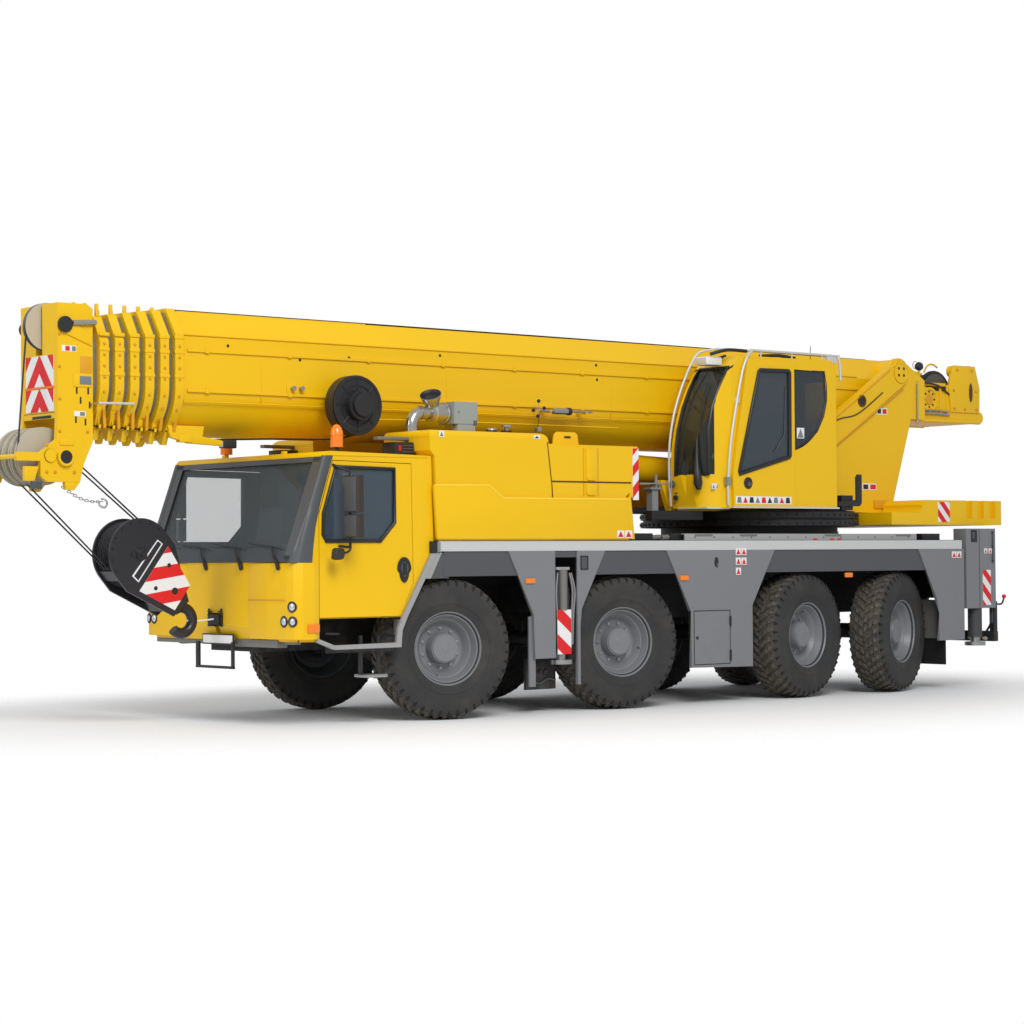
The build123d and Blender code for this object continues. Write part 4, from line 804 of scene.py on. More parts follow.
headCaps = {
    "disc": (((-3800, -360, 3790), toLeft, 74, 28, "plastic"),
             ((-3800, -374, 2560), toLeft, 62, 9, "plastic")),
    "lathe": ((((0, 62), (12, 62), (12, 84), (0, 84)), (-3800, -374, 2560), toLeft, "yellow"),),
    "tube": (([(-3725, -374, 3806), (-3480, -374, 3822)], 24, "steel", 14),),
    # Bolt heads in the darker yellow: painted shade.
    "bolt": [((x, -351, z), toLeft, 13, "paintedShadeYellow")
             for x, z in ((-3850, 3700), (-3850, 3400), (-3850, 3100), (-3850, 2800), (-3560, 2800),
                          (-3900, 2420), (-3700, 2420), (-3985, 2420), (-3985, 2670))],
    "box": [(x, x + 30, -262, -238, 3988, 4012, "yellow", 4) for x in (-3660, -3545)],
    "prism": (("y", -352, -300, ((-3800, 2330), (-3790, 2262), (-3700, 2255), (-3640, 2330)), "yellow", 5),
              ("y", -345, -295, ((-4205, 2470), (-4205, 2335), (-4110, 2335), (-4060, 2470)), "yellow", 5)),
}
build("headCaps", "boom_head", headCaps, both=True)


# Chain with its ring, hung from the head. Every other link stands flat.
chainValues = {
    "start": (-3760, -250, 2285), "end": (-3340, -210, 2155), "sag": 45, "links": 14, "linkHalf": (21, 11),
    "wire": 4, "ring": (-3318, -210, 2140), "ringRadius": 42, "ringBar": 10,
}


def chainLink(n):
    t, flat = n / (chainValues["links"] - 1), n % 2
    middle = Vector(chainValues["start"]).lerp(Vector(chainValues["end"]), t)
    middle.z -= chainValues["sag"] * sin(pi * t)
    length, width = chainValues["linkHalf"]
    return circle(middle, Vector((length, 0, 0)), Vector((0, width * flat, width * (1 - flat))), 1, 10)


chainRing = circle(Vector(chainValues["ring"]), Vector(toRear), Vector(upwards), chainValues["ringRadius"],
                   18)
chainParts = {
    "tube": [(chainLink(n), chainValues["wire"], "steel", 6, True) for n in range(chainValues["links"])]
    + [(chainRing, chainValues["ringBar"], "chrome", 8, True),
       ([(-3350, -245, 2112), (-3300, -175, 2105)], 9, "chrome", 8)],
}
build("sparChain", "boom_head", chainParts)

# Collars of the boom tubes: bolts, slide pad covers, lugs below and the loops that carry the cable.
# A tube is flat above and at the sides and round below; each one inside is smaller by step.
collarValues = {
    "radius": 505, "top": 4005, "step": 22, "roundZ": 3260, "boltHeights": (3315, 3420, 3525, 3630),
    "boltAngles": (12, 27, 42, 57, 72), "padHeights": (3330, 3560, 3700), "topBolts": (-150, -60),
    "lugY": -400, "lugStep": 14, "loopZ": 2806, "loopStep": 5,
}


def collar(index):
    body = f"boom_section_{index}" if index else "boom_base"
    shrink = collarValues["step"] * index
    front, roundZ = sectionFront(index), collarValues["roundZ"]
    r, top = collarValues["radius"] - shrink, collarValues["top"] - shrink

    def underside(y, lift):
        return roundZ + lift - sqrt(r * r - y * y)

    angles = [radians(angle) for angle in collarValues["boltAngles"]]
    inner = collarValues["lugY"] + collarValues["lugStep"] * index
    loopZ = collarValues["loopZ"] + collarValues["loopStep"] * index
    parts = {
        # Bolt heads in the darker yellow: painted shade.
        "bolt": [((front + 48, -r, z), toLeft, 12, "paintedShadeYellow") for z in collarValues["boltHeights"]]
        + [((front + 48, -r * cos(a), roundZ - r * sin(a)), (0, -cos(a), -sin(a)), 12, "paintedShadeYellow")
           for a in angles]
        + [((front + 48, y, top - 1), upwards, 11, "paintedShadeYellow") for y in collarValues["topBolts"]],
        "box": [(front - 6, front + 101, -r - 5, -r + 8, z, z + 34, "yellow", 3)
                for z in collarValues["padHeights"]]
        + [(front + 30, front + 62, -265, -238, top - 4, 4013, "yellow", 4)],
        "prism": (
            ("x", front + 8, front + 60, (
                (-330, underside(330, 8)), (-110, underside(110, 8)),
                (-200, 2706 + 6 * index), (-240, 2702 + 6 * index)), "yellow", 4),
            # Lower lug plate in the darker yellow: painted shade.
            ("x", front + 62, front + 92, (
                (inner, underside(inner, 12)), (-300, underside(300, 12)),
                (-330, 2812 + 4 * index), (-350, 2826 + 4 * index)), "paintedShadeYellow", 3)),
    }
    build(f"collar_{index}", body, parts, both=True)
    loop = {
        "box": [(front + 20, front + 46, y0, y1, loopZ + z0, loopZ + z1, "yellow", 2)
                for y0, y1, z0, z1 in ((-332, -322, 0, 52), (-278, -268, 0, 52), (-332, -268, 0, 9),
                                       (-332, -268, 43, 52))]
        + [(front + 26, front + 40, -306, -294, loopZ + 50, underside(300, 10), "yellow", 1)],
    }
    if index:
        route = [(front - 20, -300, loopZ + 32), (front + 60, -300, loopZ + 20),
                 (front + 130, -300, loopZ + 22)]
        loop["tube"] = ((route, 8, "rubber", 8),)
    build(f"cableLoop_{index}", body, loop)


for index in range(6):
    collar(index)

# Base tube: rope, rails, lamp, reel cable, wind gauge and small fittings.
reelX, reelZ = centres["reel"]


def onReel(r, angle, y):
    return (reelX + r * cos(angle), y, reelZ + r * sin(angle))


windGauge = {"place": (1740, 3185), "arms": ((0, 62), (-58, -16), (58, 6), (-10, -62)), "cupReach": 1.3}
gaugeX, gaugeZ = windGauge["place"]
boomDetails = {
    "tube": [
        ([(-2600, -200, 4006), (2000, -214, 4003), (7440, -120, 4003)], 9, "rope", 8),
        ([(-2590, -466, 3752), (6900, -466, 3752)], 7, "yellow", 8),
        ([(-2590, -466, 3115), (6900, -466, 3115)], 7, "yellow", 8),
        ([(1770, -600, 3161), (2497, -600, 3174)], 13, "steel", 12),
    ] + [([onReel(150, n * pi / 4, -744), onReel(262, n * pi / 4, -744)], 7, "plastic", 6) for n in range(8)]
    + [([(gaugeX, -600, gaugeZ), (gaugeX + x, -600, gaugeZ + z)], 4, "steel", 6)
       for x, z in windGauge["arms"]],
    "hose": (
        ([(-740, -664, 2832), (-950, -560, 2790), (-1500, -370, 2786), (-2302, -305, 2764),
          (-2560, -300, 2805), (-2690, -300, 2838)], 9, "rubber", 8),
        ([(1760, -596, 3160), (1748, -590, 3060), (1752, -560, 2985)], 4, "rubber", 6),
        ([(-590, -464, 2990), (-200, -472, 3012), (900, -474, 3020), (3000, -474, 3020)], 8, "yellow", 8),
    ),
    "prism": [("y", -45, 45, ((x, 3984), (x + 26, 3996), (x + 94, 3996), (x + 120, 3984)), "yellow", 3)
              for x in (-470, 1950, 4350, 6700)]
    + [("y", -345, -285, ((-2690, 2890), (-2660, 2775), (-2450, 2722), (-2076, 2706), (-2076, 2758),
                          (-2300, 2790), (-2280, 2890)), "yellow", 5)],
    "box": [(x + 40, x + 80, y - 6, y + 6, 3984, 4013, "yellow", 3) for x in (-470, 1950, 4350, 6700)
            for y in (-34, 34)]
    + [(-2540, -300, y - 40, y + 40, 3984, 3996, "yellow", 3) for y in (-235, 235)]
    + [(x, x + 46, y - 5, y + 5, z - 4, z + 40, "yellow", 3)
       for x in range(-2350, 7250, 960) for z in (3585, 3200) for y in (-478, 478)]
    + [(x, x + 10, -463, -455, 3130, 3575, "yellow", 2) for x in (-1700, 600, 2900, 5200)]
    + [(x, x + 26, -612, -455, 3148, 3176, "yellow", 3) for x in (1890, 2400)] + [
        (-2078, -1925, -372, -282, 2684, 2764, "plastic", 10),
        (-2080, -2076, -362, -292, 2694, 2754, "lensWhite", 2),
        (-2560, -2420, -352, -280, 2730, 2800, "yellow", 6),
        (-1400, -1190, -470, -458, 3228, 3338, "yellow", 3),
        (1724, 1780, -600, -540, 2940, 2992, "steel", 6)],
    "disc": [((x, -459, z), toLeft, 16, 3, "plastic", 16) for x, z in (
        (-641, 3620), (521, 3700), (-2080, 3668), (-1238, 3572), (2688, 3700), (2700, 3540), (4300, 3660))],
    "bolt": [(onReel(132, n * pi / 4 + 0.2, -819), toLeft, 9, "plastic") for n in range(8)],
    "lathe": [(((0, 30), (8, 30), (10, 18), (52, 18), (56, 24), (66, 22), (66, 0)), (x, -459, 3285), toLeft,
               "steel", 16)
              for x in (-1345, -1245)] + [
        (((0, 296), (7, 294), (7, 268), (0, 262)), (reelX, -742, reelZ), toLeft, "plastic", 48),
        (((0, 210), (9, 206), (9, 196), (0, 192)), (reelX, -742, reelZ), toLeft, "plastic", 40),
        (((0, 14), (6, 33), (236, 35), (240, 14)), (1939, -600, 3164), (1, 0, 0.018), "steel", 20),
        (((0, 37), (0, 41), (42, 41), (42, 37)), (2140, -600, 3167), (1, 0, 0.018), "plastic", 20),
    ] + [(((-14, 0), (-12, 16), (0, 21), (12, 17), (16, 0)), (gaugeX + x, -600, gaugeZ + z), toLeft,
          "plastic", 12) for x, z in ([windGauge["cupReach"] * p for p in arm] for arm in windGauge["arms"])],
}
build("boomDetails", "boom_base", boomDetails)
print("stage: boom")


# Carrier cab front: wide lower panel with its lamps. A lamp is (distance from the middle, height, radius).
cabLamps = ((1170, 1010, 47), (1292, 1010, 44), (1285, 1150, 46))


def lampShell(y, z, r):
    onFlat = y < 1200
    place, lean = (-1930 if onFlat else -1916, -y, z), (-1, 0 if onFlat else -0.25, 0)
    rim = ((-8, 0), (-8, r + 8), (6, r + 8), (10, r), (8, r - 6), (4, r - 8), (4, 0))
    lens = ((4, 0), (4, r - 9), (9, r - 14), (15, r * 0.5), (17, 0))
    return [(rim, place, lean, "plastic", 32), (lens, place, lean, "lensWhite", 28)]


cabFront = {
    "prism": (("z", 838, 1566, (
        (-1926, -560), (-1934, -900), (-1928, -1200), (-1912, -1305), (-1886, -1350), (-1845, -1368),
        (-1720, -1370), (-1646, -1346), (-1646, -1300), (-1840, -1200), (-1885, -1000), (-1900, -560)),
        "yellow", 6),),
    # Darker line along the crease of the front panel: painted shade.
    "box": ((-1937, -1930, -1190, -560, 1207, 1221, "paintedShadeYellow", 2),
            (-1802, -1668, -1386, -1366, 905, 985, "lensOrange", 6)),
    "lathe": [row for lamp in cabLamps for row in lampShell(*lamp)],
}
build("cabFront", "carrier", cabFront, both=True)

# Windscreen: its plane leans back by slope for each millimetre upwards.
screen = {"slope": 0.370, "footX": -1932, "footZ": 1570}
screenUp = Vector((screen["slope"], 0, 1)).normalized()
screenOut = Vector((-1, 0, screen["slope"])).normalized()
screenAcross = Vector(toRight)
screenRise = sqrt(1 + screen["slope"] ** 2)    # length along the screen for each millimetre of height


def screenX(z):
    return screen["footX"] + (z - screen["footZ"]) * screen["slope"]


def onScreen(y, z, lift=0):
    return Vector((screenX(z), y, z)) + screenOut * lift


def screenSlab(y, z, outline, low, high, finish):
    heights = [(u, v * screenRise) for u, v in outline]
    return (onScreen(y, z), screenAcross, screenUp, screenOut, heights, low, high, finish)


windscreenSurround = {
    "slab": (
        screenSlab(-1300, 1572, ((0, 0), (1300, 0), (1300, 60), (0, 60)), 1, 9, "cowl"),
        screenSlab(-1290, 2527, ((0, 0), (1290, 0), (1290, 50), (10, 50)), 1, 9, "trim"),
        screenSlab(-1300, 1580, ((0, 0), (138, 0), (138, 990), (20, 990)), 1, 9, "trim"),
    ),
}
build("windscreenSurround", "carrier", windscreenSurround, both=True)


def pillarRing(z, glassY, cornerX, cornerY, backX, backY):
    x = screenX(z)
    return [Vector(p) for p in (
        (x - 12, glassY, z), (min(x, cornerX) - 14, (glassY + cornerY) / 2, z),
        (cornerX - 12, cornerY + 14, z), (cornerX + 26, cornerY - 5, z), (backX, backY, z),
        (backX, -1300, z), (x + 60, glassY, z))]


cabPillar = {
    "shell": (([pillarRing(*row) for row in (
        (1566, -1262, -1885, -1352, -1735, -1362), (1700, -1262, -1862, -1350, -1720, -1358),
        (1900, -1266, -1806, -1348, -1688, -1352), (2130, -1270, -1724, -1346, -1628, -1348),
        (2359, -1275, -1640, -1346, -1552, -1346), (2588, -1280, -1560, -1344, -1472, -1342))], "trim"),),
}
build("cabPillar", "carrier", cabPillar, both=True)


def wiperArm(y):
    foot, tip = Vector((-1950, y, 1530)), onScreen(y + 165, 1712, 24)
    return [foot + Vector((12, 0, -10)), foot + Vector((-4, 0, 26)), foot.lerp(tip, 0.45) + screenOut * 14,
            tip]


def wiperBlade(y):
    return [onScreen(y + 590, 1752, 20), onScreen(y + 165, 1718, 22), onScreen(y - 20, 1690, 20)]


wiperFeet = (173, -454, -1090)
wipers = {
    "tube": [(wiperArm(y), [22, 20, 10, 6], "plastic") for y in wiperFeet]
    + [(wiperBlade(y), [4, 7, 4], "plastic", 8) for y in wiperFeet],
    "disc": [((-1936, y, 1522), toFront, 26, 16, "plastic", 18) for y in wiperFeet],
    "slab": (screenSlab(-1240, 1632, rectangle(2480, 78), 0, 3, "cowl"),),
}
build("wipers", "carrier", wipers)

# Grille of the coupling, blank number plate, hanging frame and the bars under the cab.
cabNose = {
    "box": [(-1962, -1940, y0, y1, z, z + 14, "plastic", 2)
            for z in range(952, 1122, 34) for y0, y1 in ((-108, -66), (66, 120))] + [
        (-1952, -1936, -112, -96, 944, 1122, "plastic", 2), (-1952, -1936, 112, 126, 944, 1122, "plastic", 2),
        (-1948, -1936, -323, 234, 772, 878, "plastic", 3), (-1952, -1944, -306, 217, 786, 864, "white", 2),
        (-1958, -1930, -323, -292, 537, 800, "plastic", 4), (-1958, -1930, 292, 345, 537, 800, "plastic", 4),
        (-1960, -1928, -323, 345, 537, 563, "plastic", 4),
        (-1900, -1780, -1010, -270, 756, 834, "tubeGrey", 12),
        (-1860, -1780, -1240, -1008, 790, 838, "tubeGrey", 10),
        (-1860, -1780, 240, 1240, 770, 838, "tubeGrey", 10)],
}
build("cabNose", "carrier", cabNose)

cabRoof = {
    "box": ((-1545, -330, -1341, -1318, 2586, 2604, "yellow", 5),
            (-1500, -1460, -560, -500, 2625, 2660, "yellow", 8)),
    "lathe": ((((0, 70), (16, 72), (22, 50), (22, 0)), (-1170, -980, 2618), upwards, "plastic", 24),
              (((0, 64), (34, 62), (72, 50), (100, 30), (114, 0)), (-1170, -980, 2802), upwards,
               "lensOrange", 28)),
}
build("cabRoof", "carrier", cabRoof, both=True)

cabSteps = {
    "box": [(x, x + 34, -1260, -1230, 480, 860, "plastic", 4) for x in (-1112, -905)] + [
        (-1080, -842, -1345, -1120, 453, 485, "steel", 5), (-1500, -700, -1262, -1225, 700, 770, "black", 6),
        (-690, -668, -1312, -1240, 860, 1010, "tubeGrey", 4)],
    "tube": (([(-1560, -1318, 890), (-1400, -1318, 884)], 12, "plastic", 10),),
}
build("cabSteps", "carrier", cabSteps)

# Doors of the carrier cab: window seals, round handle plates, small mirrors and arms.
doorTrim = {
    "seal": ((-1562, 1772), (-1592, 1830), (-1587, 2032), (-1442, 2482), (-743, 2472), (-743, 1950),
             (-913, 1772)),
    "handle": (-630, 1493), "handleSize": (84, 122, 128), "narrowBelow": 1480, "lowerShare": 0.72,
    "innerMiddle": (-630, 1500), "innerShare": (0.55, 0.6),
    "grip": ((-652, 1440), (-652, 1560), (-612, 1560), (-612, 1440)),
    "mirror": ((-1594, 1600), (-1584, 1690), (-1560, 1706), (-1492, 1700), (-1478, 1650), (-1500, 1596),
               (-1560, 1588)),
    "mirrorArm": ((-1392, 1500, 1745), (-1395, 1505, 1690), (-1440, 1505, 1660), (-1485, 1500, 1668)),
    "mirrorBackHeights": ((2052, 2378), (1812, 2012)),
}


def handlePlate():
    # An oval, taller below its middle and narrower there.
    x0, z0 = doorTrim["handle"]
    halfWidth, upper, lower = doorTrim["handleSize"]
    outline = []
    for k in range(24):
        across, lift = cos(k * pi / 12), sin(k * pi / 12)
        z = z0 + (upper if lift > 0 else lower) * lift
        share = 1 if z > doorTrim["narrowBelow"] else doorTrim["lowerShare"]
        outline.append((x0 + share * halfWidth * across, z))
    return outline


def shrunk(outline, middle, share):
    return [tuple(m + (p - m) * s for p, m, s in zip(point, middle, share)) for point in outline]


plate = handlePlate()
innerPlate = shrunk(plate, doorTrim["innerMiddle"], doorTrim["innerShare"])
for name, s in vehicleSides.items():
    parts = {
        "tube": (([(x, s * 1338, z) for x, z in doorTrim["seal"]], 20, "plastic", 10, True),
                 ([(-1440, s * 1465, 2402), (-1345, s * 1465, 2402)], 6, "steel", 8)),
        "prism": (("y", s * 1334, s * 1349, plate, "plastic", 5),
                  ("y", s * 1347, s * 1353, innerPlate, "trim", 2),
                  ("y", s * 1350, s * 1364, doorTrim["grip"], "plastic", 5),
                  ("y", s * 1462, s * 1546, doorTrim["mirror"], "mirrorBrown", 14)),
        "hose": (([(x, s * y, z) for x, y, z in doorTrim["mirrorArm"]], 11, "plastic", 10),),
        "box": [(-1446, -1438, s * 1478, s * 1668, z0, z1, "trim", 3)
                for z0, z1 in doorTrim["mirrorBackHeights"]],
    }
    build(f"cabDoorTrim_{name}", f"cab_door_{name}", parts)
print("stage: carrier cab")


# Engine fairings: proud lower panel with a painted highlight along its top edge, seams, recess, lug tab,
# caps, labels, warning plates.
recess = [("y", -1380, -1363, ((1722, z1), (1722, z0 + 30), (1745, z0), (1842, z0), (1866, z0 + 30),
                               (1866, z1)), "yellow", 7)
          for z0, z1 in ((2396, 2726), (2240, 2364))]
fairingDetails = {
    "prism": [
        ("y", -1404, -1360, ((-262, 1786), (-300, 2321), (403, 2331), (584, 2203), (2276, 2209),
                             (2312, 1786)), "yellow", 15),
        ("y", -1378, -1366, ((1186, 2780), (1196, 2780), (1256, 2330), (1262, 2214), (1248, 2214),
                             (1244, 2330)), "seam"),
        ("y", -1212, -1190, ((1410, 2762), (1430, 2872), (1468, 2903), (1716, 2903), (1748, 2880),
                             (1768, 2762)), "yellow", 5),
        ("y", -1384, -1300, ((2270, 1786), (2270, 2209), (2345, 2240), (2345, 2209), (2392, 1786)),
         "yellow", 6),
    ] + recess,
    # Lighter bead along the lower panel's top edge: painted highlight.
    "tube": (([(-290, -1397, 2318), (403, -1397, 2327), (580, -1397, 2200), (2268, -1397, 2204)], 10,
              "paintedHighlightYellow", 8),),
    "box": [
        (1262, 2362, -1368, -1362, 2372, 2388, "seam", 0),
        # Two darker strips down the recess: painted shade in its grooves.
        (1684, 1700, -1368, -1362, 2232, 2736, "paintedShadeYellow", 2),
        (1886, 1902, -1368, -1362, 2232, 2736, "paintedShadeYellow", 2),
        (1562, 1652, -1215, -1187, 2836, 2862, "seam", 4),
        (2340, 2462, -1364, -1290, 2226, 2766, "yellow", 8),
        (-714, -131, -1040, -960, 2772, 2806, "tubeGrey", 6),
        (-560, -262, -1110, -900, 2612, 2752, "plastic", 8),
        (-520, -480, -1118, -1104, 2660, 2720, "lensRed", 4),
    ] + [(-470, -300, -1118, -1104, z, z + 12, "trim", 3) for z in (2650, 2680, 2710)],
    "stripes": (((2384, -1364, 2200), upwards, toFront, ((0, 0), (545, 0), (545, -84), (0, -84)), 112, 1.0,
                 20, 4),),
    "label": ((-215, -1377, 2796, 62, 62, "plateGrey"), (1010, -1377, 2808, 80, 40, "black"),
              (2120, -1405, 1800, 98, 78), (2232, -1405, 1800, 98, 78)),
    "lathe": ((((0, 62), (14, 60), (26, 40), (28, 0)), (760, -1000, 2906), upwards, "steel", 24),
              (((0, 24), (36, 24), (40, 60), (58, 60), (66, 44), (68, 0)), (960, -1000, 2905), upwards,
               "steel", 24)),
}
build("fairingDetails", "carrier", fairingDetails, both=True)

# Exhaust: mouth, silencer box and clamps.
pipeLean = Vector((-0.45, -0.35, 0.82)).normalized()
mouth = Vector((95, -880, 3120)) + pipeLean * 118
exhaustDetails = {
    "lathe": (
        (((-120, 62), (-60, 74), (-10, 96), (30, 110), (40, 112), (42, 107), (34, 105), (4, 92)), mouth,
         pipeLean, "stainless", 36),
        (((36, 105), (8, 93), (2, 60), (1, 0), (-2, 0), (-2, 92)), mouth, pipeLean, "black", 36),
        (((0, 92), (0, 100), (10, 102), (20, 100), (20, 92)), (225, -880, 3070), toRear, "chrome", 32),
        (((0, 92), (0, 98), (8, 100), (16, 98), (16, 92)), (80, -880, 3070), toRear, "chrome", 32),
        (((0, 62), (0, 70), (22, 70), (22, 62)), (-70, -880, 3066), (1, 0, 0.1), "steel", 28),
    ),
    "box": ((318, 546, -1004, -800, 2890, 2966, "boxGrey", 6),
            (520, 532, -1015, -1008, 2950, 3000, "plastic", 2),
            (545, 557, -1015, -1008, 2950, 3000, "plastic", 2)),
    "disc": (((570, -880, 2990), toRear, 20, 40, "steel", 14),
             ((570, -880, 3090), toRear, 20, 40, "steel", 14),
             ((330, -1010, 3080), toLeft, 11, 4, "plateGrey", 12)),
}
build("exhaustDetails", "carrier", exhaustDetails)
print("stage: fairings")


# Skirts: side markers, recess, keyhole, hatch, labels.
skirtDetails = {
    "box": [(x - 62, x + 62, -1392, -1370, z - 26, z + 27, "lensOrange", 8)
            for x, z in ((944, 1362), (3109, 1369), (5710, 1374))]
    + [(x0, x1, -1384, -1372, z0, z1, "plastic", 3) for x0, x1, z0, z1 in (
        (1630, 1642, 1470, 1615), (1722, 1734, 1470, 1615), (1630, 1734, 1470, 1482),
        (1630, 1734, 1603, 1615))]
    + [(3254, 3800, -1378, -1374, z - 4, z + 4, "black", 0) for z in (1010, 430)]
    + [(x - 4, x + 4, -1378, -1374, 430, 1010, "black", 0) for x in (3254, 3800)] + [
        (1640, 1724, -1378, -1373, 1480, 1605, "bandGrey", 0),
        (1120, 1525, -1092, -1052, 236, 560, "black", 8),
        (-316, -250, -1381, -1300, 1650, 1768, "plastic", 4),
        (-250, -210, -1384, -1300, 1662, 1760, "steel", 3)],
    "oval": (((3600, -1372, 1536), 30, 56, 8, "plastic"), ((3610, -1379, 1500), 14, 26, 3, "trim"),
             ((3300, -1376, 720), 18, 18, 6, "plastic")),
    "tube": [([(3800, -1383, z - 55), (3800, -1383, z + 55)], 12, "plastic", 12) for z in (890, 520)],
    "label": [(x, -1377, z, 78, 78) for x, z in ((3895, 1610), (3895, 1505), (3895, 1395), (3982, 1610),
                                                 (3982, 1505))]
    + [(x, -1377, 1560, 82, 76) for x in (7530, 7622)],
    "prism": [("y", -1104, -1090, ((x, 415), (x + 30, 448), (x + 66, 440), (x + 58, 402), (x + 20, 392)),
               "mirrorBrown", 6)
              for x in (1190, 1275, 1345)] + [
        ("y", -1358, -1346, ((-240, 1656), (-90, 1656), (-90, 1400), (-396, 1400)), "bandGrey", 3),
        ("y", -1364, -1356, ((-240, 1656), (-178, 1656), (-318, 1400), (-396, 1400)), "legGrey", 2)],
    "hose": (([(1150, -1100, 330), (1290, -1104, 300), (1400, -1104, 345), (1510, -1100, 325)], 10, "trim",
              8),),
}
build("skirtDetails", "carrier", skirtDetails, both=True)

# Ladder that lies along the deck's edge, with what stands behind it.
deckLadder = {
    "box": [(3154, 6927, -1352, -1330, 1772, 1842, "legGrey", 3),
            (3154, 6927, -1340, -1260, 1836, 1846, "legGrey", 2)]
    + [(x, x + 260, -1362, -1350, 1822, 1838, "tubeGrey", 2) for x in (3300, 3990, 5350, 6560)]
    + [(x, x + 60, -1358, -1351, 1776, 1792, "red", 1) for x in (5160, 5440, 5560)]
    + [(x, x + 320, -1290, -1180, 1772, 1850, "black", 8) for x in (2420, 3000, 7100)],
    "disc": [((x, -1352, 1806), toLeft, 9, 2, "plastic", 10) for x in range(3300, 7070, 290)],
    "tube": [([(x, -1240, 1800), (x + 180, -1240, 1810)], r, "tubeGrey", 14)
             for x, r in ((2480, 40), (2700, 28), (2900, 34))],
}
build("deckLadder", "carrier", deckLadder, both=True)
print("stage: skirts")


# Crane cab: guard rails, floodlight, wiper, seals, rear bracket, labels. The front line is (height, x).
cabFrontLine = ((2130, 3625), (2430, 3600), (2800, 3622), (3000, 3655), (3250, 3735), (3450, 3832),
                (3600, 3925), (3790, 4080), (3900, 4200))


def cabFace(z):
    for (z0, x0), (z1, x1) in zip(cabFrontLine, cabFrontLine[1:]):
        if z <= z1:
            return x0 + (x1 - x0) * (z - z0) / (z1 - z0)


def frontSeal():
    heights = (2500, 2650, 2800, 3000, 3250, 3450, 3600, 3690)
    outer = [(max(cabFace(z) - 2, 3672), -1200, z) for z in heights]
    inner = [(max(cabFace(z) - 2, 3560), -735, z) for z in reversed(heights)]
    return outer + inner


craneCabDetails = {
    "hose": (
        ([(3560, -712, 2155), (3530, -716, 2541), (3545, -720, 2890), (3625, -720, 3226), (3775, -720, 3567),
          (3955, -720, 3845), (4060, -760, 3905)], 15, "railSilver", 10),
        ([(3890, -1278, 2160), (3880, -1286, 2427), (3930, -1290, 2880), (4030, -1290, 3326),
          (4115, -1290, 3640), (4195, -1285, 3800), (4330, -1240, 3886), (4460, -1200, 3894),
          (5640, -1200, 3894), (5739, -1236, 3862), (5752, -1250, 3606)], 15, "railSilver", 10),
        ([(4060, -760, 3905), (4180, -860, 3925), (4300, -1240, 3885)], 12, "railSilver", 10),
        ([(3800, -1110, 3830), (3990, -1180, 3880), (4280, -1190, 3880)], 20, "plastic", 10),
        ([(4560, -1120, 3835), (4900, -1080, 3861), (5120, -1140, 3835)], 12, "plastic", 8),
        ([(4560, -1120, 3850), (4900, -1080, 3876), (5120, -1140, 3850)], 12, "plastic", 8),
    ),
    "box": (
        (3852, 3912, -1302, -1240, 2375, 2470, "steel", 6),
        (4020, 4060, -1300, -1250, 3290, 3350, "railSilver", 6),
        (5560, 5700, -1240, -1190, 3800, 3880, "railSilver", 6),
        (3760, 3990, -1100, -900, 3715, 3806, "white", 14),
        (3752, 3762, -1085, -915, 3728, 3796, "lensWhite", 4),
        (3612, 3960, -1230, -760, 2118, 2140, "railSilver", 5),
    ),
    "prism": (("y", -1262, -1243, ((5684, 2165), (6050, 2165), (6084, 2200), (6084, 2534), (6010, 2534),
                                   (5985, 2500), (5985, 2240), (5684, 2215)), "plastic", 6),),
    "tube": [([(x, -1200, 3820), (x, -1200, 3892)], 9, "railSilver", 8) for x in (4500, 5000, 5500)] + [
        ([(3985, -1000, 3790), (4140, -1000, 3835)], 16, "plastic", 10),
        ([(cabFace(z) - 24, -1130 + (z - 2330) * 0.10, z) for z in (2330, 2400, 2520, 2640, 2760, 2900)],
         [26, 52, 44, 24, 12, 8], "plastic", 10),
        ([(cabFace(z) - 20, -1120 + (z - 2560) * 0.11, z) for z in (2560, 2800, 3000, 3250, 3450, 3520)], 6,
         "plastic", 8),
        (frontSeal(), 17, "plastic", 8, True),
        ([(x, -1247, z) for x, z in ((4975, 3700), (5470, 3700), (5502, 3540), (5500, 3366), (5450, 3190),
                                     (5340, 3010), (5180, 2890), (4975, 2790))], 18, "plastic", 10, True),
        ([(5515, -1000, 3826), (5520, -1000, 4012)], 4, "plastic", 8)],
    "label": [(5000, -1264, 2925, 120, 120, "plateGrey")]
    + [(3690 + k * 62, -1224 + k * 6, 2335, 52, 64, "plateGrey") for k in range(4)],
    "disc": (((3640, -740, 2330), toFront, 42, 30, "trim", 20),
             ((3560, -740, 2400), toFront, 42, 30, "trim", 20),
             ((3590, -765, 2250), toFront, 30, 24, "plastic", 20)),
}
build("craneCabDetails", "crane_cab", craneCabDetails)


def doorMark(k):
    # Marks along the foot of the door, slanted and tapered by turns.
    x = 4000 + k * 96
    outline = ((x, 2188), (x + 70, 2188), (x + (35 if k % 2 else 60), 2250),
               (x + (30 if k % 2 else 10), 2250))
    return ("y", -1305, -1302, outline, ("plateGrey", "red", "plastic")[k % 3])


craneDoorTrim = {
    "tube": (
        ([(x, -1300, z) for x, z in ((4030, 2502), (4040, 2530), (4360, 3650), (4380, 3668), (4840, 3676),
                                     (4852, 3660), (4847, 2720), (4835, 2706))], 23, "plastic", 10, True),
        ([(4600, -1302, 2760), (4760, -1302, 2960), (4790, -1302, 3500)], 5, "trim", 8),
    ),
    "disc": (((4174, -1299, 2407), toLeft, 64, 14, "plastic", 32),),
    "oval": (((4186, -1313, 2394), 34, 26, 4, "trim"),),
    "box": ((3984, 4865, -1303, -1299, 2176, 2260, "white", 1),),
    "prism": [doorMark(k) for k in range(9)],
}
build("craneDoorTrim", "crane_cab_door", craneDoorTrim)
print("stage: crane cab")


